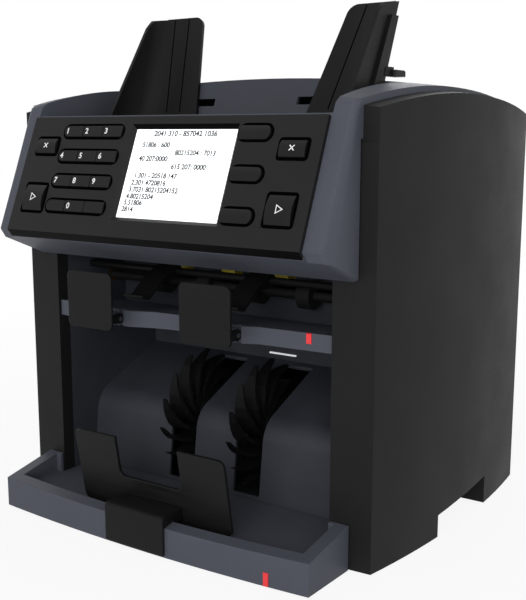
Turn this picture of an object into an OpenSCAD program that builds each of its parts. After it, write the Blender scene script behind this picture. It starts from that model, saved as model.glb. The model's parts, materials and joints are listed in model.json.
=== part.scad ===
// Two-pocket banknote sorter, a counter-top machine built up from bench-separable pieces.
// Millimetres, +Z up, the front faces -Y. Pieces are drawn with y = 0 on the front plane of the
// side covers and moved back so that the origin lies under the middle of the whole machine.

/* [Body] */
// Width over the side covers at their widest
body_w = 298; // [288:1:310]
// Swell of each side from the front edge to the widest point
bow = 12.4; // [11:0.1:14]
// Depth of the side covers
body_d = 209; // [204:1:220]
// Distance from the front edge to the widest point of the side covers
bow_y = 130; // [120:1:140]
// Step from the roof down to the tops of the side covers
cover_step = 2.8; // [2.2:0.1:3.4]
// Distance from the front edge to the crown of the side covers
cover_y = 95; // [90:1:100]
// Fall of the side covers' tops from the crown to the front and rear edges
cover_drop = 11.2; // [9:0.1:13]
// Wall of the side covers
cover_wall = 3; // [2.5:0.1:3.5]
// Width of the front pillar of each side cover
pillar_w = 27; // [25:0.5:28]
// Distance by which the pillars' inner edges lead the outer edges
pillar_lead = 2; // [0.5:0.1:2.1]
// Depth of the return on the pillars' inner edges
pillar_return = 8; // [6:0.5:10]
// Gap between the covers and the table
foot_gap = 1.5; // [1:0.1:2]
// Start of the hand grip behind the front edge
grip_y = 72; // [66:1:80]
// Length of the hand grip
grip_len = 72; // [64:1:76]
// Height of the hand grip at its front end
grip_h = 16; // [14:0.5:18]
// Rise of the hand grip towards its rear end
grip_rise = 5; // [2:0.5:7]
// Depth of the hand grip from the cover's widest point
grip_deep = 18.5; // [17:0.5:20]
// Bulge of the rear face
rear_bulge = 5; // [3:0.5:8]

/* [Head] */
// Width of the rim that the side covers leave outside the control head
rim_w = 10.2; // [9.6:0.1:11]
// Opening between the shelf and the rear lower edge of the control head
head_gap = 32.7; // [30:0.1:36]
// Top edge of the control panel, measured in front of the covers
panel_y = 13.1; // [12:0.1:14]
// Tilt of the control panel from upright
panel_tilt = 22.4; // [21:0.1:24]
// Length of the control panel down its slope
panel_h = 77.8; // [76:0.2:79]
// Width of the cheeks beside the control panel
cheek_w = 13.9; // [12.5:0.1:15.5]
// Width over which the cheeks' front edges are rounded
cheek_round = 4.4; // [3.5:0.1:6]
// Thickness of the control panel
panel_t = 3; // [2.6:0.1:3.4]
// Wall of the control head
head_wall = 2.5; // [2:0.1:3]
// Seam between the control head and the rear top cover
seam_y = 88; // [86:0.5:90]
// Rise of the roof's crown above the top edge of the control panel
roof_rise = 26.1; // [25:0.1:28]
// Distance from the front edge to the roof's crown
roof_y = 85; // [83:0.5:87]
// Radius of the roof across the machine
roof_cross_r = 1128; // [1050:1:1300]
// Radius of the roof's front arc
roof_front_r = 361; // [340:1:400]
// Radius of the roof's rear arc
roof_rear_r = 680; // [620:1:800]
// Wall of the roof covers
roof_wall = 3; // [2.5:0.1:3.5]

/* [Screen and keys] */
// Screen width
screen_w = 76.6; // [72:0.2:78]
// Screen height
screen_h = 57.1; // [54:0.1:58]
// Screen centre to the right of the panel's middle
screen_x = 14.6; // [13:0.1:16]
// Screen centre below the panel's top edge
screen_s = 35.9; // [35:0.1:37]
// Number key width
num_w = 16.1; // [15.5:0.1:16.6]
// Number key height
num_h = 7.2; // [6.8:0.1:8]
// Gap between keys of one row
num_gap = 0.5; // [0.4:0.05:0.8]
// Centre of the number keys left of the panel's middle
num_x = 57.2; // [55:0.1:58]
// Centre of the first number row below the panel's top edge
num_s = 10.1; // [9.5:0.1:11]
// Distance between number rows
num_pitch = 16.65; // [15.5:0.05:17]
// Side key width
soft_w = 21.3; // [20:0.1:22]
// Side key height
soft_h = 8.3; // [7.5:0.1:9]
// Centre of the side keys right of the panel's middle
soft_x = 67.4; // [66.8:0.1:68]
// Distance between side keys
soft_pitch = 24.8; // [24:0.1:25.4]
// Centre of the first side key below the panel's top edge
soft_s = 10.6; // [10:0.1:11.5]
// Width of the clear and run keys
big_w = 17; // [16:0.1:19]
// Height of the clear keys
clear_h = 9.8; // [9:0.1:11]
// Height of the run keys
run_h = 17; // [16:0.1:19]
// Centre of the clear and run keys to each side
big_x = 94.8; // [94:0.1:96]
// Centre of the clear keys below the panel's top edge
clear_s = 20.2; // [19:0.1:21]
// Centre of the run keys below the panel's top edge
run_s = 55.4; // [54:0.1:56.5]
// Gap round each key in its opening
key_clear = 0.4; // [0.3:0.05:0.5]
// Height of the number keys above the panel
key_proud = 1; // [0.6:0.1:1.4]
// Height of the crowned keys above the panel
crown_proud = 2; // [1.4:0.1:2.4]
// Depth of the recesses round the clear and run keys
recess_t = 0.9; // [0.6:0.1:1.2]
// Margin of those recesses round the keys
recess_w = 2; // [1.5:0.1:2.4]
// Bevel round the screen
bevel = 2.4; // [1.8:0.1:2.6]
// Travel of the keys
key_travel = 1; // [0.6:0.1:1.2]

/* [Hopper] */
// Lean of the hopper's back from upright
hopper_lean = 22.8; // [22:0.1:24]
// Front face of the guides' back plates behind the front edge, at the height guide_z
guide_y = 73; // [72:0.5:75]
// Height of the guides above the roof's crown
guide_rise = 46.2; // [40:0.1:52]
// Distance from the side frames to the guides' side plates, at rest
guide_margin = 17.85; // [17:0.05:20]
// Travel of each guide towards the middle
guide_travel = 32; // [24:1:34]
// Inner edge of the guides' back plates from the middle, at guide_z
guide_inner = 45.2; // [42:0.1:50]
// Slant of that inner edge, sideways over up
guide_taper = 0.219; // [0.1:0.01:0.25]
// Front edge of the guides' side plates behind the front edge, at guide_z
guide_front = 37.7; // [36:0.1:40]
// Slant of that front edge, backwards over up
guide_slant = 0.66; // [0.55:0.01:0.68]
// Thickness of the guides' plates
guide_t = 2.5; // [2:0.1:3]
// Height of the guide arms
arm_t = 4; // [3.5:0.1:4.5]
// Height of the hopper's floor above the head's rear lower edge
bed_rise = 37.8; // [36:0.1:39]

/* [Reject pocket] */
// Top of the shelf at its front edge
shelf_z = 140.5; // [138:0.5:143]
// Height of the shelf's front face
shelf_face = 10.5; // [9:0.1:12]
// Slope of the shelf down to the rear
shelf_slope = 8.2; // [6:0.1:9]
// Depth of the shelf's sloping top
shelf_d = 62; // [56:1:63]
// Distance of the stops from the middle
stop_x = 45.4; // [43:0.1:48]
// Width of the stop plates
stop_w = 37; // [34:0.5:38]
// Height of the stop plates
stop_h = 36; // [33:0.5:38]
// Front face of the stop plates in front of the covers
stop_y = 38; // [36:0.5:40]
// Thickness of the stop plates and arms
stop_t = 2; // [1.8:0.1:2.4]
// Hinge pin of the stops in front of the covers
hinge_y = 8.5; // [8:0.1:9]
// Radius of the hinge pins
hinge_r = 1.5; // [1.2:0.05:1.6]
// Radial clearance of pins and shafts in their bores
run_clear = 0.05; // [0.03:0.01:0.08]
// Distance of the hold-down arms from the middle
hold_x = 38; // [36:0.5:40]
// Width of the hold-down arms
hold_w = 16; // [12:0.5:18]
// Pivot of the hold-down arms behind the front edge
hold_y = 32; // [30:0.5:33]
// Height of that pivot above the shelf
hold_rise = 22.5; // [21.5:0.5:23.5]

/* [Stacker pocket] */
// Distance of the tray's front corners inside the covers' front edges
tray_inset = 15.6; // [14.6:0.1:16.6]
// Front corners of the tray in front of the covers
tray_y = 44.7; // [43:0.1:46]
// Bow of the tray's front
tray_bow = 5.6; // [4:0.1:7]
// Top of the tray's front edge at its corners
tray_z = 21.4; // [20:0.1:23]
// Slope of the tray's top, up over back
tray_rise = 0.19; // [0.15:0.005:0.21]
// Thickness of the tray's front and side walls
tray_wall = 8.4; // [7:0.1:9]
// Height of the tray's floor
tray_floor = 16; // [15:0.1:16.5]
// Half the width of the stack stop
wing_w = 60; // [56:0.5:64]
// Half the width of the gap between its wings
wing_gap = 25; // [24.5:0.1:28]
// Height of the stack stop, along its lean
wing_h = 51; // [46:0.5:54]
// Height of the stack stop between its wings
wing_low = 24; // [22:0.5:26]
// Lean of the stack stop towards the front
wing_lean = 10; // [8:0.5:12]
// Front foot of the stack stop in front of the covers
wing_y = 29; // [28:0.5:30]
// Half the width of the stop's bracket
clip_w = 23.5; // [20:0.5:24.5]
// Height of the stop's bracket
clip_h = 28.4; // [27.5:0.1:30]
// Thickness of the bracket's front
clip_t = 2; // [1.8:0.1:2.5]
// Distance of the stacker wheels from the middle
wheel_x = 27.5; // [26:0.5:30]
// Radius over the stacker wheels' blades
wheel_r = 44; // [42:0.5:45]
// Width of the stacker wheels
wheel_w = 15; // [12:0.5:16]
// Number of blades on each stacker wheel
wheel_blades = 14; // [10:1:16]
// Stacker shaft behind the front edge
wheel_y = 53; // [52:0.5:54]
// Height of the stacker shaft
wheel_z = 61; // [60:0.5:62]
// Width of the wheel slots in the chute
chute_slot = 21; // [20:0.5:23]
// Thickness of the chute
chute_t = 2.5; // [2:0.1:3]

/* [Drive] */
// Radius of the shafts
shaft_r = 3; // [2.8:0.1:3.2]
// Thickness of the side frames
frame_t = 3; // [2.5:0.1:3.5]
// Radius of the belt pulleys
pulley_r = 12; // [11:0.2:12.6]
// Width of the drive belt
belt_w = 6; // [5:0.2:6.5]
// Thickness of the drive belt
belt_t = 1.6; // [1.2:0.1:2]
// Radius of the motor
motor_r = 26; // [24:0.5:28]
// Length of the motor
motor_l = 62; // [50:1:66]
// Radius of the feed roller's tyres
feed_r = 11; // [10.5:0.1:11.4]
// Radius of the exit roller's tyres
exit_r = 9; // [8:0.1:9.5]
// Tooth pitch of the guide racks divided by pi
rack_m = 1; // [0.95:0.01:1.05]
// Teeth on the guide pinion
pinion_n = 14; // [12:1:15]

/* [Hidden] */
// Facets of fine arcs
fine = 360;
// Working gap between neighbouring covers
gap = 0.3;
// Slack for cuts that pass right through
thru = 1;

// Radius of an arc that rises by a height over half its chord
function arc_r(run, rise) = (run * run + rise * rise) / (2 * rise);

half_w = body_w / 2;
half_front = half_w - bow;
bow_r = arc_r(bow_y, bow);
pillar_x = half_front - pillar_w;
frame_x = pillar_x;
frame_out = frame_x + frame_t;
frame_y0 = pillar_return + 0.2;
frame_y1 = body_d - 9;
head_half = half_front - rim_w;
panel_half = head_half - cheek_w;
panel_w = 2 * panel_half;
// Sideways scale of the screen and keys, 1 at the panel width of 225
across = panel_w / 225;
rail_x = panel_half + 0.5;
head_back = -pillar_lead - 0.4;

// The panel's own frame: x across, y up the slope, z out of the panel
panel_sin = sin(panel_tilt);
panel_cos = cos(panel_tilt);
// Heights are stacked up from the shelf in tenths; the head's underside is square to the panel
lip_s = panel_h + 3.2;
head_low = shelf_z + head_gap;
panel_z = round(10 * (head_low + lip_s * panel_cos
    + (head_back + panel_y + lip_s * panel_sin) * panel_sin / panel_cos)) / 10;
roof_h = panel_z + roof_rise;
rail_z = roof_h - 39.3;
pillar_top = rail_z - 2;
bed_z = head_low + bed_rise;
guide_z = roof_h - 23.3;
guide_top = roof_h + guide_rise;
guide_bottom = bed_z + 3;
slot_z = roof_h - 15.3;
stop_z = shelf_z - 6.8;
hinge_z = shelf_z - 5.5;
hold_z = shelf_z + hold_rise;
function panel_pt(s, n) =
    [-panel_y - s * panel_sin - n * panel_cos, panel_z - s * panel_cos + n * panel_sin];
rear_y = body_d;
rear_half = half_w - pow(body_d - bow_y, 2) / (2 * bow_r) - rim_w - gap;
rear_r = arc_r(rear_half, rear_bulge);
// Inner face of the rear cover at a distance from the middle
function rear_in(x) = rear_y + rear_bulge - rear_r + sqrt(pow(rear_r - cover_wall, 2) - x * x);
pan_z0 = 4;
pan_t = 2.5;
pan_z1 = pan_z0 + pan_t;
foot_r = 8;
foot_x = frame_x - 17.6;
foot_y = [28, body_d - 28];

// Tray and its clip share the bowed front and the sloping top
tray_half = half_front - tray_inset;
tray_w = 2 * tray_half;
tray_r = arc_r(tray_half, tray_bow);
tray_front = tray_y + tray_bow;
tray_side = tray_half + 2;
tray_floor_t = 2.5;
tray_back = 27;
function tray_top(y) = tray_z + (y + tray_y) * tray_rise;
clip_gap = 0.3;
clip_front = tray_front + clip_gap + clip_t;

// Whole machine from the clip's front to the rear bulge, centred on y = 0
all_front = -clip_front;
all_rear = rear_y + rear_bulge;
frame_shift = -(all_front + all_rear) / 2;

// Leaning plane of the hopper's back at a height
lean_tan = tan(hopper_lean);
lean_cos = cos(hopper_lean);
function lean_y(z) = guide_y + (z - guide_z) * lean_tan;
wall_off = (guide_t + 0.5) / lean_cos;
wall_t = 3 / lean_cos;

feed_z = bed_z + 11;
feed_y = lean_y(feed_z) + (feed_r - 2.2) / lean_cos + wall_off - 1;
exit_y = 54;
exit_z = shelf_z + 11.5;
motor_y = 0.718 * body_d;
motor_z = 60;
gate_y = 88;
gate_z = exit_z;
shafts = [[wheel_y, wheel_z], [motor_y, motor_z], [feed_y, feed_z], [exit_y, exit_z]];
bush_r = shaft_r + 2;
bush_flange = 1.2;
pulley_x = frame_out + bush_flange + 1.5;
pulley_w = belt_w + 3;
belt_x = pulley_x + 1.5;
belt_gap = 0.3;
gate_r = 2.5;
gate_pitch = 24;
hold_r = 2.5;

pinion_r = rack_m * pinion_n / 2;
pinion_z = slot_z - 14;
rack_y0 = 88.5;
rack_t = 5;
tooth_add = 0.8 * rack_m;
tooth_ded = 1.1 * rack_m;
tooth_slack = 0.24;
guide_gap = 2 * (frame_x - guide_margin);
arm_x = guide_gap / 2 - 17.75;
arm_w = 14;

key_names = ["key_1", "key_2", "key_3", "key_4", "key_5", "key_6", "key_7", "key_8", "key_9",
    "key_shift", "key_0", "key_menu"];
soft_names = ["side_key_top", "side_key_middle", "side_key_bottom"];
// Each key: name, x, distance down the slope, width, height, rounded end (-1 left, 0 none, 1 right),
// and the height of its crown above the panel (0 for a flat key)
row_w = across * num_w;
KEYS = concat(
    [for (row = [0:3]) for (col = [0:2])
        [key_names[row * 3 + col], -across * num_x + (col - 1) * (row_w + num_gap),
            num_s + row * num_pitch, row_w, num_h, col == 0 ? -1 : 0, 0]],
    [for (i = [0:2])
        [soft_names[i], across * soft_x, soft_s + i * soft_pitch, across * soft_w, soft_h, 1,
            crown_proud * 0.7]],
    [for (side = [-1, 1]) [side < 0 ? "left_clear_key" : "right_clear_key", side * across * big_x,
        clear_s, across * big_w, clear_h, 0, crown_proud]],
    [for (side = [-1, 1]) [side < 0 ? "left_run_key" : "right_run_key", side * across * big_x,
        run_s, across * big_w, run_h, 0, crown_proud]]);
glass_w = across * screen_w;
glass_x = across * screen_x;
key_flange = 1;
key_flange_t = 1.2;
key_seat = 0.2;
board_n = -(panel_t + key_seat + key_flange_t + key_travel + 1.8);
board_t = 1.6;
// Depth to which the panel's chamfered lower edge wraps round the head
lip_n = panel_t + 2.3;

// Helpers

// Everything drawn from the front plane, moved so that the origin is under the middle
module placed() {
    translate([0, frame_shift, 0]) children();
}

// A profile in (y, z) pushed along x
module yz(x0, x1) {
    translate([x0, 0, 0]) rotate([90, 0, 90]) linear_extrude(x1 - x0) children();
}

// A profile in (x, y) pushed up from z0 to z1
module xy(z0, z1) {
    translate([0, 0, z0]) linear_extrude(z1 - z0) children();
}

// A profile in the panel's frame, pushed from n0 to n1 along its normal
module on_panel(n0, n1) {
    panel_frame() translate([0, 0, n0]) linear_extrude(n1 - n0) children();
}

// The panel's frame, for solids
module panel_frame() {
    translate([0, -panel_y, panel_z]) rotate([90 - panel_tilt, 0, 0]) children();
}

// A rod along x
module rod(x0, x1, y, z, r) {
    translate([x0, y, z]) rotate([0, 90, 0]) cylinder(r = r, h = x1 - x0, $fn = 64);
}

module both() {
    children();
    mirror([1, 0, 0]) children();
}

// Points on an arc from one angle to another
function arc(c, r, a0, a1, n) =
    [for (k = [0:n]) c + r * [cos(a0 + (a1 - a0) * k / n), sin(a0 + (a1 - a0) * k / n)]];

// Rectangle about the origin with true round corners
module round_rect(w, h, r) {
    square([w, h - 2 * r], center = true);
    square([w - 2 * r, h], center = true);
    for (x = [-1, 1]) for (y = [-1, 1])
        translate([x * (w / 2 - r), y * (h / 2 - r)]) circle(r, $fn = 48);
}

// Outline of the bowed sides, set in by a wall
module bow_plan(inset) {
    intersection() {
        translate([half_w - bow_r, bow_y]) circle(bow_r - inset, $fn = fine * 4);
        translate([bow_r - half_w, bow_y]) circle(bow_r - inset, $fn = fine * 4);
        translate([-body_w, -body_d]) square([2 * body_w, 3 * body_d]);
    }
}

// Outline behind the front plane with the bulged rear
module rear_plan(inset, y0) {
    intersection() {
        bow_plan(rim_w + inset);
        translate([0, rear_y + rear_bulge - rear_r]) circle(rear_r - inset, $fn = fine * 4);
        translate([-body_w, y0]) square([2 * body_w, 2 * body_d]);
    }
}

// Domed solid, curved across the machine and along it, with one arc to the front of its crown
// and one to the rear
module dome(crown_z, crown_y, front_r, rear_r, low) {
    axis_z = roof_h - roof_cross_r;
    translate([0, 0, axis_z]) rotate([-90, 0, 0]) rotate([0, 0, -105])
        rotate_extrude(angle = 30, $fn = fine * 2)
            for (half = [[front_r, -120, crown_y], [rear_r, crown_y, body_d + 60]])
                intersection() {
                    translate([crown_z - half[0] - axis_z, crown_y]) circle(half[0], $fn = fine * 4);
                    translate([low - axis_z, half[1]]) square([crown_z + 20 - low, half[2] - half[1]]);
                }
}

// Roof and side covers' tops, lowered by a wall
module roof_solid(drop) {
    dome(roof_h - drop, roof_y, roof_front_r - drop, roof_rear_r - drop, roof_h - 110);
}

module cover_solid(drop) {
    dome(roof_h - cover_step - drop, cover_y, arc_r(cover_y, cover_drop) - drop,
        arc_r(body_d - cover_y, cover_drop) - drop, -40);
}

// Covers and base

module base_pan() {
    color("#3a3d42") {
        xy(pan_z0, pan_z1) translate([-frame_out, frame_y0])
            square([2 * frame_out, body_d - 6 - frame_y0]);
        // Upturned edge that the side frames screw to
        both() yz(frame_out - 2, frame_out) translate([frame_y0, pan_z1]) square([body_d - 30, 6]);
    }
}

module feet() {
    color("#1a1a1a")
        for (x = [-foot_x, foot_x]) for (y = foot_y)
            translate([x, y, 0]) cylinder(r = foot_r, h = pan_z0, $fn = 48);
}

module cover_skin() {
    slab = rim_w - gap;
    difference() {
        intersection() {
            union() {
                // Curved side with its flanges
                xy(foot_gap, roof_h) difference() {
                    intersection() {
                        bow_plan(0);
                        square([body_w, body_d]);
                    }
                    bow_plan(slab);
                    translate([-body_w, -thru]) square([body_w, body_d + 2 * thru]);
                }
                // Front pillar with its return
                xy(foot_gap, pillar_top) intersection() {
                    bow_plan(0);
                    polygon([[pillar_x, -pillar_lead], [half_front + 4, 0],
                        [half_front + 4, pillar_return], [pillar_x, pillar_return]]);
                }
            }
            cover_solid(0);
        }
        // Hollow inside
        intersection() {
            xy(-thru, roof_h) intersection() {
                bow_plan(cover_wall);
                translate([pillar_x + cover_wall, cover_wall])
                    square([body_w, body_d - 2 * cover_wall]);
            }
            cover_solid(cover_wall);
        }
    }
}

// Outline of the hand grip seen from the side, grown by t
module grip_side(t) {
    polygon([[grip_y - t, -thru], [grip_y - t, grip_h + t],
        [grip_y + grip_len + t, grip_h + grip_rise + t], [grip_y + grip_len + t, -thru]]);
}

module side_cover() {
    inner = half_w - grip_deep;
    difference() {
        union() {
            cover_skin();
            // Walls round the hand grip
            intersection() {
                xy(foot_gap, grip_h + grip_rise + 2 * cover_wall) bow_plan(cover_wall - 0.8);
                yz(inner - cover_wall, half_w) grip_side(cover_wall);
            }
        }
        // Hand grip in the bottom edge
        yz(inner, half_w + 1) grip_side(0);
    }
}

module right_side_cover() {
    color("#2c2c2d") side_cover();
}

module left_side_cover() {
    color("#2c2c2d") mirror([1, 0, 0]) side_cover();
}

// Inner side wall that carries the shafts, with a hole for the motor's where there is one
module side_frame(motor) {
    difference() {
        yz(frame_x, frame_out) difference() {
            translate([frame_y0, pan_z1]) square([frame_y1 - frame_y0, rail_z - gap - pan_z1]);
            for (p = [shafts[0], shafts[2], shafts[3]]) translate(p) circle(bush_r, $fn = 64);
            translate([hold_y, hold_z]) circle(hold_r + run_clear, $fn = 64);
            translate([gate_y, gate_z]) circle(gate_r + run_clear, $fn = 64);
            if (motor) translate([motor_y, motor_z]) circle(bush_r + 1, $fn = 64);
        }
        // Room for the pan's upturned edge
        yz(frame_out - 2, frame_out + thru) translate([frame_y0 - thru, pan_z1 - thru])
            square([body_d - 30 + 2 * thru, 7 + thru]);
    }
}

module right_frame() {
    color("#4b4e55") side_frame(true);
}

module left_frame() {
    color("#4b4e55") mirror([1, 0, 0]) side_frame(false);
}

module rear_cover() {
    z0 = pan_z1;
    z1 = rail_z + 6;
    color("#2c2c2d") difference() {
        xy(z0, z1) difference() {
            rear_plan(gap, frame_y1 + 1);
            rear_plan(cover_wall, -thru);
        }
        // Cooling slots
        for (row = [0:5]) for (col = [-3:3])
            translate([col * 26 - 9, frame_y1, 150 + row * 10]) cube([18, 30, 4]);
        // Opening for the power inlet
        translate([inlet_x - inlet_w / 2, frame_y1, inlet_z - inlet_h / 2]) cube([inlet_w, 30, inlet_h]);
    }
}

module rear_top_cover() {
    z0 = rail_z + 6 + gap;
    color("#4f525a") difference() {
        union() {
            // Roof behind the seam
            intersection() {
                roof_solid(0);
                xy(z0, roof_h + 1) rear_plan(0, seam_y + gap);
            }
            // Leaning back of the hopper
            intersection() {
                hopper_wall(bed_z + 1, roof_h + 1, wall_t);
                roof_solid(0);
            }
            // Post of the guide pinion
            translate([0, lean_y(pinion_z) + wall_off + 1, pinion_z]) rotate([-90, 0, 0])
                cylinder(r = 2, h = rack_y0 + rack_t + 2 - lean_y(pinion_z) - wall_off - 1, $fn = 48);
        }
        difference() {
            intersection() {
                roof_solid(roof_wall);
                xy(z0 - thru, roof_h) rear_plan(roof_wall, 60);
            }
            hopper_wall(rail_z - 40, roof_h + 1, 60, -60 + wall_t);
            both() translate([frame_x + 0.5, 0, 0]) cube([60, seam_y + roof_wall, roof_h + 1]);
            translate([0, lean_y(pinion_z), pinion_z]) rotate([-90, 0, 0])
                cylinder(r = 2, h = 40, $fn = 48);
        }
        // Slots that the guides' arms run in
        both() translate([arm_x - arm_w / 2 - guide_travel - 1, guide_y, slot_z - arm_t / 2 - 0.5])
            cube([guide_travel + arm_w + 2, 30, arm_t + 1]);
        // Windows for the feed roller's tyres
        both() translate([feed_tyre_x - feed_tyre_w / 2 - 2, 20, feed_z - feed_r - 1])
            cube([feed_tyre_w + 4, 60, 2 * feed_r + 2]);
    }
}

// Leaning slab behind the guides, between two heights
module hopper_wall(z0, z1, t, shift = 0) {
    yz(-frame_x + 0.5, frame_x - 0.5)
        polygon([[lean_y(z0) + wall_off + shift, z0], [lean_y(z1) + wall_off + shift, z1],
            [lean_y(z1) + wall_off + shift + t, z1], [lean_y(z0) + wall_off + shift + t, z0]]);
}

// Control head

// Front of the head from its lip up to the panel's top edge, set in by a wall
function visor_front(w) = [panel_pt(lip_s - w, -lip_n - w), panel_pt(panel_h + 1 - w, -lip_n - w),
    panel_pt(panel_h - 0.5 - w, -panel_t - w), panel_pt(0, -panel_t - w)];

// Visor section behind the panel, set in by a wall
module visor_side(w) {
    top = panel_z + 0.8 - w;
    polygon(concat([[head_back, head_low + w / panel_cos]], visor_front(w),
        [[panel_pt(0, -panel_t - w)[0] + 1.5, top], [head_back, top]]));
}

// Cheek section beside the panel and at the head's side, point for point
function cheek_in(x) = [[head_back, head_low], panel_pt(lip_s, -9), panel_pt(lip_s - 4, -panel_t),
    panel_pt(-5, -panel_t), panel_pt(-8.5, -panel_t - 0.3), [head_back, roof_z(x, head_back)]];
function cheek_out(x) = [[head_back, head_low + 2.4], panel_pt(lip_s - 2.2, -20.7),
    panel_pt(lip_s - 6.4, -16.3), panel_pt(-3, -7.8), panel_pt(-8, -7.5),
    [head_back, roof_z(x, head_back)]];
cheek_steps = 6;
// Section at an angle round the front edge, from the flat part at 0 to the side at 90
function cheek_at(a) =
    let (x = head_half - cheek_round * (1 - sin(a)), turn = 1 - cos(a), near = cheek_in(x), far = cheek_out(x))
    [for (k = [0:len(near) - 1]) let (p = near[k] * (1 - turn) + far[k] * turn) [x, p[0], p[1]]];

// Solid through a row of sections that have the same number of points
module loft(sections) {
    n = len(sections[0]);
    m = len(sections);
    polyhedron([for (s = sections) each s], concat(
        [[for (j = [0:n - 1]) j]], [[for (j = [n - 1:-1:0]) (m - 1) * n + j]],
        [for (i = [0:m - 2]) for (j = [0:n - 1])
            let (a = i * n + j, b = i * n + (j + 1) % n) each [[a, a + n, b + n], [a, b + n, b]]]));
}

// Height of the roof's skin in front of its crown
function roof_z(x, y) =
    roof_h - roof_front_r + sqrt(pow(roof_front_r, 2) - pow(y - roof_y, 2))
    - (roof_cross_r - sqrt(pow(roof_cross_r, 2) - x * x));

module head_shell() {
    color("#4f525a") {
        // Visor behind the panel
        difference() {
            yz(-rail_x, rail_x) visor_side(0);
            yz(-rail_x + 2, rail_x - 2) intersection() {
                visor_side(head_wall);
                translate([-100, 0]) square([200, 400]);
            }
            // Open back
            yz(-rail_x + 2, rail_x - 2) translate([head_back - 5, head_low + 2 * head_wall])
                square([10, panel_z - head_low - 3 * head_wall]);
            // Window for the screen and keys
            on_panel(-20, 0) translate([0, -panel_h / 2]) square([panel_w - 8, panel_h - 7], center = true);
        }
        both() {
            // Cheek, flat beside the panel and rounded away to the side
            loft(concat([for (k = [cheek_steps:-1:0]) cheek_at(90 * k / cheek_steps)],
                [[for (p = cheek_in(rail_x)) [rail_x, p[0], p[1]]]]));
            // Rail over the side cover's flange
            difference() {
                intersection() {
                    roof_solid(0);
                    rail_block(0);
                }
                intersection() {
                    roof_solid(roof_wall);
                    rail_block(roof_wall);
                }
            }
        }
    }
}

module rail_block(w) {
    xy(w > 0 ? rail_z - thru : rail_z, roof_h + 1) intersection() {
        bow_plan(rim_w + w);
        translate([rail_x + w, head_back]) square([60, seam_y - head_back - w]);
    }
}

// Panel with its chamfered lower edge, screen window and key openings
module fascia() {
    color("#303031") difference() {
        yz(-panel_half, panel_half)
            polygon([panel_pt(0, 0), panel_pt(panel_h, 0), panel_pt(panel_h + 3, -lip_n),
                panel_pt(panel_h + 1, -lip_n), panel_pt(panel_h - 0.5, -panel_t), panel_pt(0, -panel_t)]);
        on_panel(-20, 1) translate([glass_x, -screen_s]) square([glass_w, screen_h], center = true);
        // Bevel round the screen
        panel_frame() loft([for (n = [-bevel, 0.5]) [for (c = [[-1, -1], [1, -1], [1, 1], [-1, 1]])
            [glass_x + c[0] * (glass_w / 2 + bevel + n), -screen_s + c[1] * (screen_h / 2 + bevel + n), n]]]);
        // Shallow recesses round the clear and run keys
        on_panel(-recess_t, 1) for (i = [15:18]) translate([KEYS[i][1], -KEYS[i][2]])
            round_rect(KEYS[i][3] + 2 * recess_w, KEYS[i][4] + 2 * recess_w, 2.5);
        on_panel(-20, 1) {
            for (row = [0:3]) translate([-across * num_x, -num_s - row * num_pitch])
                key_shape(3 * row_w + 2 * num_gap + 2 * key_clear, num_h + 2 * key_clear, -1);
            for (i = [12:18]) translate([KEYS[i][1], -KEYS[i][2]])
                key_shape(KEYS[i][3] + 2 * key_clear, KEYS[i][4] + 2 * key_clear, KEYS[i][5]);
        }
    }
}

// Key outline: a rectangle, with one end rounded where it is the end of its row
module key_shape(w, h, end) {
    r = h / 2;
    if (end == 0)
        square([w, h], center = true);
    else {
        translate([-end * r / 2, 0]) square([w - r, h], center = true);
        translate([end * (w / 2 - r), 0]) circle(r, $fn = 48);
    }
}

module panel_key(k) {
    top = -panel_t - key_seat;
    proud = max(k[6], key_proud);
    color("#262627") {
        intersection() {
            on_panel(top - key_flange_t, proud) translate([k[1], -k[2]]) key_shape(k[3], k[4], k[5]);
            // Crown, rolled about the key's length
            if (k[6] > 0) panel_frame() key_crown(k, arc_r(k[4] / 2, 0.12 * k[4]));
            else on_panel(-20, proud + thru) square(4 * panel_w, center = true);
        }
        on_panel(top - key_flange_t, top) translate([k[1], -k[2]])
            square([k[3] / 2, k[4] + 2 * key_flange], center = true);
        on_panel(board_n + key_travel + 0.2, top) translate([k[1], -k[2]]) circle(2.4, $fn = 32);
    }
}

module key_crown(k, r) {
    translate([k[1] - k[3], -k[2], k[6] - r]) rotate([0, 90, 0]) cylinder(r = r, h = 2 * k[3], $fn = 128);
    translate([k[1] - k[3], -k[2] - k[4], -20]) cube([2 * k[3], 2 * k[4], 20]);
}

module display() {
    color("#e9eef2") on_panel(-panel_t - 4.5, -bevel - 0.2) translate([glass_x, -screen_s])
        square([glass_w - 0.4, screen_h - 0.4], center = true);
}

module key_board() {
    color("#2f5a3a") difference() {
        on_panel(board_n - board_t, board_n) translate([0, -panel_h / 2])
            square([panel_w - 12, panel_h - 12], center = true);
        on_panel(board_n - 5, board_n + 5) translate([glass_x, -screen_s])
            square([glass_w + 0.6, screen_h + 0.6], center = true);
    }
}

// Hopper

module hopper_bed() {
    back = lean_y(bed_z) + wall_off - 0.6;
    color("#3b3e44") yz(-frame_x + 0.4, frame_x - 0.4)
        polygon([[0.5, bed_z - 4], [0.5, panel_z - 4], [3, panel_z - 4], [3, bed_z],
            [back, bed_z - 5], [back, bed_z - 8]]);
}

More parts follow.
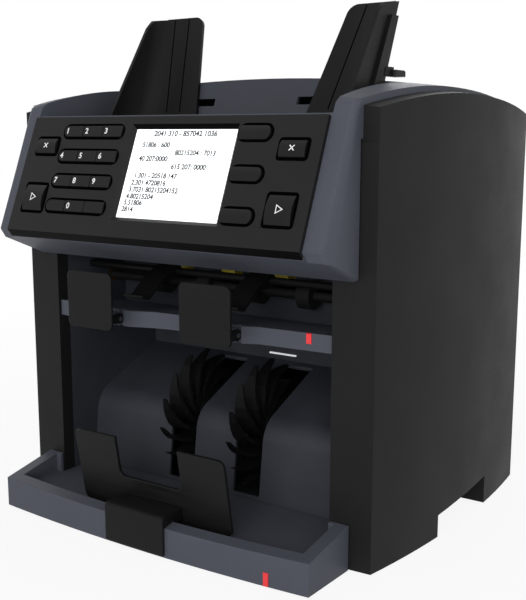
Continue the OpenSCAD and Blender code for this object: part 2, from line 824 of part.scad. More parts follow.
// One guide: side plate, leaning back plate, stiffening rib, arm and toothed rack
module guide(rack_up) {
    side_in = guide_gap / 2;
    z0 = guide_bottom;
    z1 = guide_top;
    function front(z) = guide_front + (z - guide_z) * guide_slant;
    function inner(z) = guide_inner + (z - guide_z) * guide_taper;
    back_y = guide_t / lean_cos;
    corner = 8;
    edge_a = atan(guide_taper * lean_cos);
    // Side plate, its foot clear of the hopper's front wall
    foot = 4;
    yz(side_in, side_in + guide_t)
        polygon([[foot, z0], [lean_y(z0) + back_y, z0], [lean_y(z1) + back_y, z1],
            [lean_y(z1) - 17.5, z1 - 2.5], [lean_y(z1) - 20.5, z1 - 5], [front(z1 - 8.5), z1 - 8.5],
            [foot, guide_z + (foot - guide_front) / guide_slant]]);
    // Back plate with a round inner corner, drawn in the leaning plane and cut away over the feed tyres
    cut_z = feed_z + feed_r + 2;
    cut_x = feed_tyre_x + feed_tyre_w / 2 + guide_travel + 2;
    translate([0, lean_y(0), 0]) rotate([90 - hopper_lean, 0, 0]) mirror([0, 0, 1]) linear_extrude(guide_t)
        polygon(concat([[inner(cut_z), cut_z / lean_cos], [cut_x, cut_z / lean_cos], [cut_x, z0 / lean_cos],
            [side_in + guide_t / 2, z0 / lean_cos], [side_in + guide_t / 2, z1 / lean_cos]],
            arc([inner(z1) + corner * (1 - sin(edge_a)) / cos(edge_a), z1 / lean_cos - corner], corner,
                90, 180 - edge_a, 12)));
    // Stiffening rib along the rear of the outer face, wider to its foot
    rib0 = guide_z + 2;
    rib1 = z1 - 9.5;
    yz(side_in + guide_t / 2, side_in + guide_t + 2.2)
        polygon([[lean_y(rib0) + back_y - 15, rib0], [lean_y(rib0) + back_y - 0.6, rib0],
            [lean_y(rib1) + back_y - 0.6, rib1], [lean_y(rib1) + back_y - 9.5, rib1]]);
    // Two finger tabs over the roof
    tab_z = roof_h - 1;
    tab_y = lean_y(tab_z) + back_y;
    yz(side_in + 0.2, side_in + 5.2)
        polygon([[tab_y - 3.5, tab_z], [tab_y + 9, tab_z], [tab_y + 9, tab_z + 5.7], [tab_y - 1.2, tab_z + 5.7]]);
    yz(side_in + 0.2, side_in + 8)
        polygon([[tab_y + 6, tab_z], [tab_y + 20, tab_z], [tab_y + 20, tab_z + 3], [tab_y + 18.6, tab_z + 4],
            [tab_y + 6, tab_z + 4]]);
    // Arm through the slot
    arm_y0 = lean_y(slot_z) + back_y / 2;
    translate([arm_x - arm_w / 2, arm_y0, slot_z - arm_t / 2])
        cube([arm_w, rack_y0 - 0.5 - arm_y0, arm_t]);
    // Drop to the rack
    rack_pitch_z = pinion_z + (rack_up ? pinion_r : -pinion_r);
    rack_z = rack_up ? rack_pitch_z + tooth_ded : rack_pitch_z - tooth_ded - 4;
    drop_z0 = min(rack_z, slot_z - arm_t / 2);
    translate([arm_x - arm_w / 2, rack_y0 - 3.5, drop_z0])
        cube([arm_w, 3, slot_z + arm_t / 2 - drop_z0]);
    translate([-14, rack_y0, rack_z]) cube([arm_x + arm_w / 2 + 14, rack_t, 4]);
    translate([arm_x - arm_w / 2, rack_y0 - 1, rack_z]) cube([arm_w, 2, 4]);
    rack_teeth(rack_pitch_z, rack_up ? -1 : 1);
}

// Straight teeth on the bar; dir is the side on which they stand
module rack_teeth(z, dir) {
    p = PI * rack_m;
    half = p / 4 - tooth_slack;
    flank = tan(20);
    n0 = ceil(-12 / p);
    n1 = floor((guide_travel + 12) / p);
    translate([0, rack_y0, 0]) rotate([90, 0, 0]) mirror([0, 0, 1]) linear_extrude(rack_t)
        for (i = [n0:n1])
            translate([(i + 0.5) * p, z]) polygon([
                [-half - tooth_ded * flank, -dir * (tooth_ded + 0.2)],
                [half + tooth_ded * flank, -dir * (tooth_ded + 0.2)],
                [half - tooth_add * flank, dir * tooth_add],
                [-half + tooth_add * flank, dir * tooth_add]]);
}

module right_guide() {
    color("#222223") guide(false);
}

module left_guide() {
    color("#222223") mirror([1, 0, 0]) guide(true);
}

module guide_pinion() {
    half = PI * rack_m / 4 - tooth_slack;
    root = pinion_r - tooth_ded;
    tip = pinion_r + tooth_add;
    color("#d8d4c4") translate([0, rack_y0, pinion_z]) rotate([90, 0, 0]) mirror([0, 0, 1])
        linear_extrude(rack_t) difference() {
            union() {
                circle(root + 0.1, $fn = 64);
                for (i = [0:pinion_n - 1]) rotate(90 + i * 360 / pinion_n)
                    polygon([[root - 0.5, -half * 1.45], [pinion_r, -half], [tip, -half * 0.45],
                        [tip, half * 0.45], [pinion_r, half], [root - 0.5, half * 1.45]]);
            }
            circle(2 + run_clear, $fn = 48);
        }
}

// Reject pocket

shelf_tan = tan(shelf_slope);
// Lug of a stop, the slot that it turns in and the shelf's boss beside it
lug_x = stop_x + 2;
lug_t = 2.4;
lug_slot = 3.6;
boss_w = 9;

module reject_shelf() {
    low = shelf_z - shelf_face;
    wall_x = frame_x - 0.3;
    color("#54575f") difference() {
        union() {
            intersection() {
                yz(-wall_x, wall_x)
                    polygon([[-12, low], [104, low - 2], [104, low + 0.5], [shelf_d + 2, low + 1],
                        [shelf_d, shelf_z - shelf_d * shelf_tan], [0, shelf_z], [-12, shelf_z]]);
                xy(low - 5, shelf_z + 5) shelf_plan(wall_x);
            }
            // Boss that holds a stop's pin from one side
            for (x = [-lug_x, lug_x]) translate([x - lug_slot / 2, 0, 0]) {
                rod(-boss_w, 0, -hinge_y, hinge_z, 4.4);
                translate([-boss_w, -hinge_y, hinge_z - 3.8]) cube([boss_w, 6, 7.6]);
            }
        }
        // Slots and pin bores of the stops
        for (x = [-lug_x, lug_x]) {
            translate([x - lug_slot / 2, -20, low - thru])
                cube([lug_slot, 24 - hinge_y + 0.5, shelf_face + 2 * thru]);
            rod(x - boss_w, x, -hinge_y, hinge_z, hinge_r);
        }
        // Seat of the lamp
        translate([lamp_up_x - lamp_w / 2, -6, shelf_z - lamp_up_h]) cube([lamp_w, 7, lamp_up_h + 2]);
    }
}

// Shelf outline from above: forward at the stops, with a finger scoop between
module shelf_plan(w) {
    lip = hinge_y - 1.9;
    in = lug_x - 7.4;
    out = lug_x + 2.6;
    scoop_y = 2.4;
    scoop_d = scoop_y + lip;
    scoop_r = (in * in + scoop_d * scoop_d) / (2 * scoop_d);
    scoop_a = asin(in / scoop_r);
    polygon(concat(
        [[w, 105], [-w, 105], [-w, 0], [-out - 10, -2.6], [-out, -lip], [-in - 2, -lip]],
        arc([0, scoop_y - scoop_r], scoop_r, 90 + scoop_a, 90 - scoop_a, 24),
        [[in + 2, -lip], [out, -lip], [out + 10, -2.6], [w, 0]]));
}

lamp_w = 3.4;
lamp_up_x = frame_x - 15.9;
lamp_up_h = 6.4;
lamp_low_x = tray_half - 26.6;
lamp_low_z = 1.8;
lamp_low_h = 8.2;

// Tray's front face at the lower lamp
lamp_face = -tray_front + tray_r - sqrt(tray_r * tray_r - lamp_low_x * lamp_low_x);

module status_lamps() {
    color("#f0353b") {
        translate([lamp_up_x - lamp_w / 2, -1.2, shelf_z - lamp_up_h]) cube([lamp_w, 2.2, lamp_up_h - 0.3]);
        translate([lamp_low_x - lamp_w / 2, lamp_face - 0.3, lamp_low_z]) cube([lamp_w, 2.8, lamp_low_h]);
    }
}

module reject_back() {
    y = exit_y + exit_r + 3.5;
    low = shelf_z - shelf_face;
    bend = shelf_z + 35.5;
    slot_half = frame_x - 24.6;
    color("#3b3e44") difference() {
        yz(-frame_x + 0.3, frame_x - 0.3)
            polygon([[y, low + 1], [y, bend], [y + 12, bend + 20], [y + 14, bend + 19], [y + 2, bend - 1],
                [y + 2, low + 1]]);
        // Note outlet
        translate([-slot_half, y - 5, exit_z - 6]) cube([2 * slot_half, 20, 12]);
    }
}

// Stop: round-cornered plate on an upright arm that narrows to a round lug
module stop(side) {
    knuckle = 3.4;
    plate_back = -stop_y + stop_t;
    difference() {
        union() {
            translate([side * stop_x, plate_back, stop_z + stop_h / 2]) rotate([90, 0, 0])
                linear_extrude(stop_t) round_rect(stop_w, stop_h, 4);
            yz(side * lug_x - lug_t / 2, side * lug_x + lug_t / 2)
                polygon([[plate_back - 0.5, stop_z + 0.8], [-hinge_y, hinge_z - knuckle + 0.3],
                    [-hinge_y, hinge_z + knuckle - 0.3], [-hinge_y - 9, hinge_z + knuckle - 0.3],
                    [plate_back - 0.5, hinge_z + 9]]);
            rod(side * lug_x - lug_t / 2, side * lug_x + lug_t / 2, -hinge_y, hinge_z, knuckle);
        }
        rod(side * lug_x - lug_t, side * lug_x + lug_t, -hinge_y, hinge_z, hinge_r + run_clear);
    }
}

module left_stop() {
    color("#242425") stop(-1);
}

module right_stop() {
    color("#242425") stop(1);
}

module stop_pins() {
    color("#b9bcc0") for (x = [-lug_x, lug_x])
        rod(x - boss_w + 1, x + lug_t / 2 + 0.5, -hinge_y, hinge_z, hinge_r);
}

// Hold-down arms on one cross bar
module hold_down_bail() {
    tip_z = shelf_z + 8;
    color("#2a2b2d") {
        rod(-frame_out - 1, frame_out + 1, hold_y, hold_z, hold_r);
        for (x = [-hold_x, hold_x]) yz(x - hold_w / 2, x + hold_w / 2) difference() {
            union() {
                translate([hold_y, hold_z]) circle(hold_r + 2.2, $fn = 48);
                polygon([[hold_y - 2, hold_z + 4], [hold_y - 16, hold_z - 2], [2, tip_z + 1.5],
                    [-5, tip_z + 3], [-5.5, tip_z + 1], [2, tip_z - 1], [hold_y - 15, hold_z - 5],
                    [hold_y + 1, hold_z - 4]]);
            }
            translate([hold_y, hold_z]) circle(hold_r, $fn = 64);
        }
    }
}

// Stacker pocket

module stacker_tray() {
    in_half = tray_half - tray_wall;
    back_half = frame_x - gap;
    color("#54575f") difference() {
        intersection() {
            xy(foot_gap, 40) difference() {
                union() {
                    intersection() {
                        translate([0, -tray_front + tray_r]) circle(tray_r, $fn = fine * 8);
                        polygon([[-tray_half, -60], [tray_half, -60], [tray_side, head_back],
                            [-tray_side, head_back]]);
                    }
                    translate([-back_half, head_back - 1]) square([2 * back_half, tray_back - head_back + 1]);
                }
            }
            yz(-tray_side - 1, tray_side + 1)
                polygon([[-60, 0], [-60, tray_top(-60)], [head_back, tray_top(head_back)],
                    [head_back + 2, tray_floor], [tray_back, tray_floor], [tray_back, 0]]);
        }
        // Inside of the tray
        xy(tray_floor, 60) union() {
            intersection() {
                translate([0, -tray_front + tray_r]) circle(tray_r - tray_wall, $fn = fine * 8);
                polygon([[-in_half, -60], [in_half, -60], [in_half + 1.5, head_back - 2.5],
                    [-in_half - 1.5, head_back - 2.5]]);
            }
            translate([-back_half - thru, head_back - 2.6]) square([2 * back_half + 2 * thru, 60]);
        }
        // Hollow underside
        xy(-thru, tray_floor - tray_floor_t) {
            intersection() {
                translate([0, -tray_front + tray_r]) circle(tray_r - 3, $fn = fine * 8);
                translate([-tray_half + 3, -60]) square([tray_w - 6, 60 - 5]);
            }
            translate([-back_half + 3, -6]) square([2 * back_half - 6, 8]);
        }
        // Base pan under the rear of the floor
        xy(-thru, pan_z1) translate([-tray_half, 1.5]) square([tray_w, 40]);
        // Seat of the lamp
        translate([lamp_low_x - lamp_w / 2, lamp_face - 5, lamp_low_z]) cube([lamp_w, 7.5, lamp_low_h]);
    }
}

// Front face of the leaning stack stop at a height
wing_t = 2.4;
wing_tan = tan(wing_lean);
function wing_front(z) = -wing_y - (z - tray_floor) * wing_tan - wing_t / cos(wing_lean);

module stack_stop() {
    r = 5;
    color("#242425") translate([0, -wing_y, tray_floor]) rotate([90 + wing_lean, 0, 0])
        translate([0, 0.6, 0]) linear_extrude(wing_t) difference() {
            translate([0, wing_h / 2]) round_rect(2 * wing_w, wing_h, r);
            translate([0, wing_low + wing_h / 2]) round_rect(2 * wing_gap, wing_h, 4);
        }
}

module stop_bracket() {
    top = clip_h;
    wall_in = -tray_front + tray_wall + clip_gap;
    color("#2b2b2c") yz(-clip_w, clip_w)
        polygon([[-clip_front, 3], [-tray_front - clip_gap, 3],
            [-tray_front - clip_gap, tray_top(-tray_front) + clip_gap],
            [wall_in, tray_top(wall_in) + clip_gap], [wall_in, tray_floor + 4],
            [wing_front(tray_floor + 4), tray_floor + 4], [wing_front(top), top],
            [-clip_front + 3, top], [-clip_front, top - 1.5]]);
}

// Chute surface: up steeply from the tray, round a nose, and back to the rear wall
nose_r = 20;
chute_top_y = 100;
chute_rise = 23;

// Upper face of the chute, shrunk by t towards its inside
function chute_face(t) =
    let (nose = [tray_back + 6 + nose_r, 52], r = nose_r - t,
        rise = [cos(chute_rise), sin(chute_rise)],
        up = nose + r * [-rise[1], rise[0]],
        end_y = chute_top_y + 0.01 * t)
    concat([[tray_back + gap + t, pan_z1 + 0.5]], arc(nose, r, 176, 90 + chute_rise, 16),
        [up + rise * (end_y - up[0]) / rise[0]]);

// Sheet of the chute with the wall at its rear
module chute_side(t) {
    top = chute_face(0);
    low = chute_face(t);
    n = len(top) - 1;
    polygon(concat(top, [[chute_top_y, shelf_z - shelf_face - 2.3],
        [chute_top_y + t, shelf_z - shelf_face - 2.3], [chute_top_y + t, low[n][1]]],
        [for (k = [n:-1:0]) low[k]]));
}

module stacker_chute() {
    w = frame_x - gap;
    color("#4b4e55") difference() {
        yz(-w, w) chute_side(chute_t);
        both() translate([wheel_x - chute_slot / 2, tray_back - 5, tray_floor + 2])
            cube([chute_slot, chute_top_y - tray_back + 1, 120]);
    }
}

// Bladed stacker wheel: curved blades swept back from the hub
blade_root = 12;
blade_sweep = 75;
blade_steps = 7;
// Radius where the blades start to narrow, and their width at the tip
blade_flare = 25;
blade_tip = 3;
function blade_mid(t) =
    let (r = blade_root - 2 + (wheel_r - blade_root + 2) * t, a = -blade_sweep * pow(t, 0.8))
    [r * cos(a), r * sin(a)];
function blade_half(t) = 1.5 * (1 - t) + 0.5;
function blade_side(t, s) =
    let (d = blade_mid(t + 0.01) - blade_mid(t - 0.01 * min(1, t * 100)), n = d / norm(d))
    blade_mid(t) + s * blade_half(t) * [-n[1], n[0]];

// Ring that bevels one side of the blades
module blade_bevel() {
    fall = (wheel_w - blade_tip) / 2 / (wheel_r - blade_flare);
    rotate([0, 90, 0]) rotate_extrude()
        polygon([[blade_flare - 3, wheel_w / 2 + 3 * fall], [wheel_r + 2, wheel_w / 2 + 3 * fall],
            [wheel_r + 2, blade_tip / 2 - 2 * fall]]);
}

module stacker_wheel(x) {
    color("#1f1f20") difference() {
        union() {
            rod(x - wheel_w / 2 - 1, x + wheel_w / 2 + 1, wheel_y, wheel_z, blade_root);
            for (i = [0:wheel_blades - 1])
                yz(x - wheel_w / 2, x + wheel_w / 2) translate([wheel_y, wheel_z])
                    rotate(i * 360 / wheel_blades)
                        polygon(concat([for (k = [0:blade_steps]) blade_side(k / blade_steps, 1)],
                            [for (k = [blade_steps:-1:0]) blade_side(k / blade_steps, -1)]));
        }
        rod(x - wheel_w, x + wheel_w, wheel_y, wheel_z, shaft_r);
        for (s = [0, 1])
            translate([x, wheel_y, wheel_z]) mirror([s, 0, 0]) blade_bevel();
    }
}

module left_stacker_wheel() {
    stacker_wheel(-wheel_x);
}

module right_stacker_wheel() {
    stacker_wheel(wheel_x);
}

// Drive

// Shaft across the frames with a flanged belt pulley on its right end
module driven_shaft(y, z) {
    rod(-frame_out - bush_flange - 2, pulley_x + 0.5, y, z, shaft_r);
    pulley(y, z);
}

module pulley(y, z) {
    rod(pulley_x, pulley_x + pulley_w, y, z, pulley_r);
    for (x = [pulley_x, pulley_x + pulley_w - 1]) rod(x, x + 1, y, z, pulley_r + belt_t + 0.6);
}

module stacker_shaft() {
    color("#b9bcc0") driven_shaft(wheel_y, wheel_z);
}

feed_tyre_x = 26;
feed_tyre_w = 16;

module feed_roller() {
    color("#3a3a3c") {
        driven_shaft(feed_y, feed_z);
        for (x = [-feed_tyre_x, feed_tyre_x])
            rod(x - feed_tyre_w / 2, x + feed_tyre_w / 2, feed_y, feed_z, feed_r);
    }
}

module exit_roller() {
    color("#3a3a3c") {
        driven_shaft(exit_y, exit_z);
        for (x = [-60, -20, 20, 60]) rod(x - 5, x + 5, exit_y, exit_z, exit_r);
    }
}

// Flanged bushes in the frames
module bearings() {
    color("#a8824a") for (p = [shafts[0], shafts[2], shafts[3]]) both() yz_ring(p);
}

module yz_ring(p) {
    yz(frame_x, frame_out) translate(p) difference() {
        circle(bush_r, $fn = 64);
        circle(shaft_r + run_clear, $fn = 64);
    }
    yz(frame_out, frame_out + bush_flange) translate(p) difference() {
        circle(bush_r + 1.5, $fn = 64);
        circle(shaft_r + run_clear, $fn = 64);
    }
}

module drive_motor() {
    color("#8d9094") difference() {
        union() {
            rod(frame_x - motor_l, frame_x - 3, motor_y, motor_z, motor_r);
            yz(frame_x - 3, frame_x) translate([motor_y, motor_z]) round_rect(2 * motor_r + 8, 2 * motor_r + 8, 6);
        }
        rod(frame_x - 20, frame_x + 5, motor_y, motor_z, shaft_r + run_clear);
    }
}

module motor_pulley() {
    color("#b9bcc0") {
        rod(frame_x - 18, pulley_x + 0.5, motor_y, motor_z, shaft_r);
        pulley(motor_y, motor_z);
    }
}

// Belt loop round the four pulleys: an arc at each, joined by straight runs
function belt_points(r) = [for (i = [0:3])
    let (a = shafts[(i + 3) % 4], b = shafts[i], c = shafts[(i + 1) % 4],
        in = atan2(b[1] - a[1], b[0] - a[0]) - 90, turn = atan2(c[1] - b[1], c[0] - b[0]) - 90 - in,
        sweep = turn < 0 ? turn + 360 : turn)
    each arc(b, r, in, in + sweep, 16)];

module drive_belt() {
    color("#1c1c1c") yz(belt_x, belt_x + belt_w) difference() {
        polygon(belt_points(pulley_r + belt_gap + belt_t));
        polygon(belt_points(pulley_r + belt_gap));
    }
}

// Flap with fingers that sends a note to one pocket or the other
module sorting_gate() {
    color("#2a2b2d") {
        rod(-frame_out - 1, frame_out + 1, gate_y, gate_z, gate_r);
        for (i = [-3:3]) translate([i * gate_pitch, 0, 0]) yz(-7, 7) difference() {
            union() {
                translate([gate_y, gate_z]) circle(gate_r + 1.8, $fn = 48);
                polygon([[gate_y - 3, gate_z + 2], [gate_y - 2, gate_z + 20], [gate_y + 1, gate_z + 20],
                    [gate_y + 4, gate_z]]);
            }
            translate([gate_y, gate_z]) circle(gate_r, $fn = 64);
        }
    }
}

// Electrics

inlet_x = 31.6 - frame_x;
inlet_z = 62;
inlet_w = 28;
inlet_h = 48;
inlet_y = rear_y - 14;
rocker_z = inlet_z + 14;
rocker_w = 12;
rocker_h = 16;
rocker_rest = 8;
socket_w = 24;
socket_h = 16.5;
socket_z = inlet_z - 9;

// Inlet with its switch in one housing, set in the rear cover
module power_inlet() {
    face = rear_y + rear_bulge - pow(inlet_x, 2) / (2 * rear_r) - 0.6;
    color("#1a1a1a") difference() {
        union() {
            translate([inlet_x - inlet_w / 2 + 0.3, inlet_y - 14, inlet_z - inlet_h / 2 + 0.3])
                cube([inlet_w - 0.6, face - inlet_y + 14, inlet_h - 0.6]);
        }
        // Socket
        translate([inlet_x, face - 16, socket_z]) rotate([-90, 0, 0])
            linear_extrude(20) round_rect(socket_w, socket_h, 2.5);
        // Bay of the rocker
        translate([inlet_x - rocker_w / 2 - 0.4, face - 10, rocker_z - rocker_h / 2 - 0.4])
            cube([rocker_w + 0.8, 20, rocker_h + 0.8]);
        rod(inlet_x - rocker_w / 2 - 2.5, inlet_x + rocker_w / 2 + 2.5, face - 4, rocker_z, 1.2 + run_clear);
    }
    color("#b9bcc0") for (p = [[-6, -2], [6, -2], [0, 3]])
        translate([inlet_x + p[0] - 1, face - 17, socket_z + p[1] - 2]) cube([2, 8, 4]);
}

module power_rocker() {
    face = rear_y + rear_bulge - pow(inlet_x, 2) / (2 * rear_r) - 0.6;
    color("#101010") {
        yz(inlet_x - rocker_w / 2, inlet_x + rocker_w / 2) translate([face - 4, rocker_z])
            rotate(-rocker_rest)
                polygon([[-2.5, -4], [4, -rocker_h / 2 + 1.4], [5, -rocker_h / 2 + 2], [3.6, 0],
                    [5, rocker_h / 2 - 2], [4, rocker_h / 2 - 1.4], [-2.5, 4]]);
        rod(inlet_x - rocker_w / 2 - 2, inlet_x + rocker_w / 2 + 2, face - 4, rocker_z, 1.2);
    }
}

module main_board() {
    y = frame_y1 - 8;
    x0 = 49.6 - frame_x;
    w = 2 * frame_x - 69.2;
    z0 = pan_z1 + 63.5;
    h = shelf_z - 30.5;
    color("#2f5a3a") {
        translate([x0, y, z0]) cube([w, 1.6, h]);
        // Spacers to the rear cover
        for (x = [x0 + 10, x0 + w - 10]) for (z = [z0 + 10, z0 + h - 50])
            translate([x, y + 1, z]) rotate([-90, 0, 0])
                cylinder(r = 4, h = rear_in(abs(x) + 4) - y - 1, $fn = 32);
    }
}

module power_supply() {
    color("#8d9094") translate([9.6 - frame_x, chute_top_y + 6, pan_z1]) cube([70, 70, 30]);
}

placed() base_pan();
placed() feet();
placed() left_side_cover();
placed() right_side_cover();
placed() left_frame();
placed() right_frame();
placed() head_shell();
placed() fascia();
placed() display();
placed() key_board();
placed() hopper_bed();
placed() rear_top_cover();
placed() rear_cover();
placed() reject_shelf();
placed() reject_back();
placed() stop_pins();
placed() stacker_chute();
placed() stacker_tray();
placed() stack_stop();
placed() stop_bracket();
placed() status_lamps();
placed() bearings();
placed() drive_motor();
placed() drive_belt();
placed() main_board();
placed() power_supply();
placed() power_inlet();
placed() left_guide();
placed() right_guide();
placed() guide_pinion();
placed() left_stop();
placed() right_stop();
placed() hold_down_bail();
placed() stacker_shaft();
placed() left_stacker_wheel();
placed() right_stacker_wheel();
placed() feed_roller();
placed() exit_roller();
placed() sorting_gate();
placed() motor_pulley();
placed() power_rocker();
for (k = KEYS)
    placed() panel_key(k);
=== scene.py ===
"""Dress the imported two-pocket note sorter and stage it as in a studio photograph."""

from __future__ import annotations

import json
import logging
import math
from dataclasses import dataclass
from enum import Enum

import bpy
from mathutils import Matrix, Vector

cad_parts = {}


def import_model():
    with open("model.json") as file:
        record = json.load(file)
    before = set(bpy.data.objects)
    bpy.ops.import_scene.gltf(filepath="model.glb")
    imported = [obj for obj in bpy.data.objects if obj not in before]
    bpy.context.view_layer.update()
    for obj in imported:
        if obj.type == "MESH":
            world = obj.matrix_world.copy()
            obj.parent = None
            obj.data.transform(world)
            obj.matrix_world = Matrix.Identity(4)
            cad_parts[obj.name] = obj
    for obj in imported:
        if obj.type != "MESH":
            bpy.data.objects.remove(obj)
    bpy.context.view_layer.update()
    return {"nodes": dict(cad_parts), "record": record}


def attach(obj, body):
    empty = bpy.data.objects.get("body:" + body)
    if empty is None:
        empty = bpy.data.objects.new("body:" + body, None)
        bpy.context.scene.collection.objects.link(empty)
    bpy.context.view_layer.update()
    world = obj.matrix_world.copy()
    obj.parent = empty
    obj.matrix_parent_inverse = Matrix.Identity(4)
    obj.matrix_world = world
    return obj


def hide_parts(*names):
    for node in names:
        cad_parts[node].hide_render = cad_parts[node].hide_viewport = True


LOG = logging.getLogger("note_sorter")
Triple = tuple[float, float, float]
MM = 0.001
# The drawing's y = 0 is the front plane of the side covers; the frame's origin is under the middle.
FRONT_PLANE = -80.7
MACHINE = "machine"
# Thickness of a print on the panel, mm.
PRINT_T = 0.03


class Side(Enum):
    """The two sides of the machine, as the operator sees them."""

    LEFT = -1
    RIGHT = 1


class Mark(Enum):
    """Plain signs printed on the keys."""

    RUN = "run"
    CLEAR = "clear"


class Align(Enum):
    """Where a line of figures has its place."""

    CENTER = "CENTER"
    LEFT = "LEFT"


def linear(hexa: str) -> tuple[float, float, float, float]:
    """Turn an sRGB hex colour into linear RGBA.

    Args:
        hexa: Colour such as "#50535b".

    Returns:
        Linear red, green, blue and an alpha of 1.
    """
    parts = [int(hexa[i:i + 2], 16) / 255 for i in (1, 3, 5)]
    r, g, b = (c / 12.92 if c <= 0.04045 else ((c + 0.055) / 1.055) ** 2.4 for c in parts)
    return (r, g, b, 1.0)


def add(tree: bpy.types.NodeTree, kind: str, settings: dict | None = None,
        **inputs: object) -> bpy.types.Node:
    """Add one shader node.

    Args:
        tree: Node tree that takes it.
        kind: Blender's node type.
        settings: Attributes of the node itself.
        inputs: Sockets by name with "_" for a space, or by number after "_", each a value or an
            output socket to link.

    Returns:
        The node.
    """
    node = tree.nodes.new(kind)
    for name, value in (settings or {}).items():
        setattr(node, name, value)
    for name, value in inputs.items():
        key = int(name[1:]) if name[1:].isdigit() else name.replace("_", " ")
        socket = node.inputs[key]
        if isinstance(value, bpy.types.NodeSocket):
            tree.links.new(value, socket)
        else:
            socket.default_value = value
    return node


def point(x: float, y: float, z: float) -> Vector:
    """Point of the drawing, in mm from the covers' front plane, in the frame's metres."""
    return Vector((x, y + FRONT_PLANE, z)) * MM


@dataclass(frozen=True)
class Finish:
    """One moulded, drawn or coated surface: colour, gloss and the grain that breaks it up.

    The grain swings the roughness by grain and the colour by shade, either way. The real grain of
    these surfaces is finer than a pixel, about 0.1 mm, so it is drawn about ten times as coarse,
    which is as coarse as it needs to show.
    """

    name: str
    colour: str
    rough: float
    grain_mm: float = 1.4
    grain: float = 0.06
    bump: float = 0.02
    shade: float = 0.10
    metallic: float = 0.0
    ior: float = 1.5
    coat: float = 0.0
    glow: float = 0.0
    stretch: Triple = (1.0, 1.0, 1.0)
    blotch_mm: float = 38.0
    relief_mm: float = 0.2
    least_rough: float = 0.02
    noise_from: float = 0.7
    noise_to: float = 1.3

    def material(self) -> bpy.types.Material:
        """Build the procedural material, or give the one built before.

        Returns:
            A material on object coordinates, with grain in colour, gloss and height.
        """
        found = bpy.data.materials.get(self.name)
        if found:
            return found
        made = bpy.data.materials.new(self.name)
        made.use_nodes = True
        tree = made.node_tree
        tree.nodes.clear()
        base = linear(self.colour)
        dark = tuple(c * (1 - self.shade) for c in base[:3]) + (1.0,)
        light = tuple(min(1.0, c * (1 + self.shade)) for c in base[:3]) + (1.0,)
        place = add(tree, "ShaderNodeTexCoord").outputs["Object"]
        turned = add(tree, "ShaderNodeMapping", None, Vector=place, Scale=self.stretch).outputs["Vector"]
        fine = add(tree, "ShaderNodeTexNoise", None, Vector=turned, Scale=1 / (self.grain_mm * MM),
                   Detail=2.0, Roughness=0.6).outputs["Fac"]
        broad = add(tree, "ShaderNodeTexNoise", None, Vector=turned, Scale=1 / (self.blotch_mm * MM),
                    Detail=3.0, Roughness=0.5).outputs["Fac"]
        both = add(tree, "ShaderNodeMath", {"operation": "ADD"}, _0=fine, _1=broad).outputs[0]
        tone = add(tree, "ShaderNodeMapRange", None, Value=both, From_Min=self.noise_from,
                   From_Max=self.noise_to).outputs[0]
        tint = add(tree, "ShaderNodeMix", {"data_type": "RGBA"}, Factor=tone, _6=dark,
                   _7=light).outputs[2]
        gloss = add(tree, "ShaderNodeMapRange", None, Value=both, From_Min=self.noise_from,
                    From_Max=self.noise_to, To_Min=max(self.least_rough, self.rough - self.grain),
                    To_Max=self.rough + self.grain).outputs[0]
        relief = add(tree, "ShaderNodeBump", None, Strength=self.bump, Distance=self.relief_mm * MM,
                     Height=fine)
        shader = add(tree, "ShaderNodeBsdfPrincipled", None, Base_Color=tint, Roughness=gloss,
                     Normal=relief.outputs["Normal"], Metallic=self.metallic)
        if self.metallic < 0.5:
            shader.inputs["IOR"].default_value = self.ior
        shader.inputs["Coat Weight"].default_value = self.coat
        if self.glow > 0:
            shader.inputs["Emission Color"].default_value = base
            shader.inputs["Emission Strength"].default_value = self.glow
        add(tree, "ShaderNodeOutputMaterial", None, Surface=shader.outputs["BSDF"])
        return made


# Injection-moulded ABS with a fine spark grain: a soft, even black that lifts to gray at grazing angles.
CHARCOAL = Finish("charcoal_moulded_abs", "#1b1b1c", 0.52, grain_mm=1.2, bump=0.06, ior=1.20)
# Painted ABS of the head, shelf and tray: blue-gray, a little smoother than the covers.
GRAY = Finish("blue_gray_painted_abs", "#4e515a", 0.47, grain_mm=1.1, bump=0.03, shade=0.05, ior=1.20)
# Roof behind the hopper: the same blue-gray moulding, made darker as painted shade from the hopper that
# hides it from the light.
ROOF_PAINTED_SHADE = Finish("blue_gray_abs_painted_shade", "#3b3e46", 0.50, grain_mm=1.3, bump=0.05, shade=0.06, ior=1.30)
# Inner ABS mouldings: the same blue-gray, left matte and darker.
LINER = Finish("matte_inner_abs", "#34363d", 0.58, grain_mm=2.0, grain=0.10, shade=0.14, ior=1.34)
# Polycarbonate panel with a satin hard coat, nearly black.
PANEL = Finish("satin_polycarbonate_panel", "#1f1f20", 0.44, grain_mm=0.9, bump=0.015, shade=0.06,
               ior=1.22)
# Polished lower strip of the panel: black with clear reflections.
STRIP = Finish("polished_black_strip", "#070708", 0.22, grain_mm=0.9, grain=0.03, bump=0.004,
               shade=0.05, ior=1.08)
# Moulded keys, one step darker than the panel and a little glossier.
KEY = Finish("moulded_key_abs", "#171718", 0.38, grain_mm=0.9, bump=0.02, shade=0.08, ior=1.24)
# Black ABS of guides, arms and bracket: satin, rubbed smoother where notes and fingers pass.
BLACK = Finish("satin_black_abs", "#111112", 0.48, grain_mm=1.6, grain=0.09, bump=0.03, ior=1.22)
# The same ABS on the folding stops and the stack stop: rubbed to faint level streaks by passing notes.
RUBBED = Finish("rubbed_black_abs", "#131314", 0.46, grain_mm=1.5, grain=0.14, bump=0.02, shade=0.30,
                ior=1.22, stretch=(0.05, 1.0, 1.0))
# Soft urethane of the stacker wheels: matte, with a faint bloom. Its black is made darker as painted
# shade from notes in the pocket, which are not modelled.
URETHANE = Finish("black_urethane_and_painted_shade", "#0c0c0d", 0.58, grain_mm=2.2, grain=0.10, shade=0.18, ior=1.20)
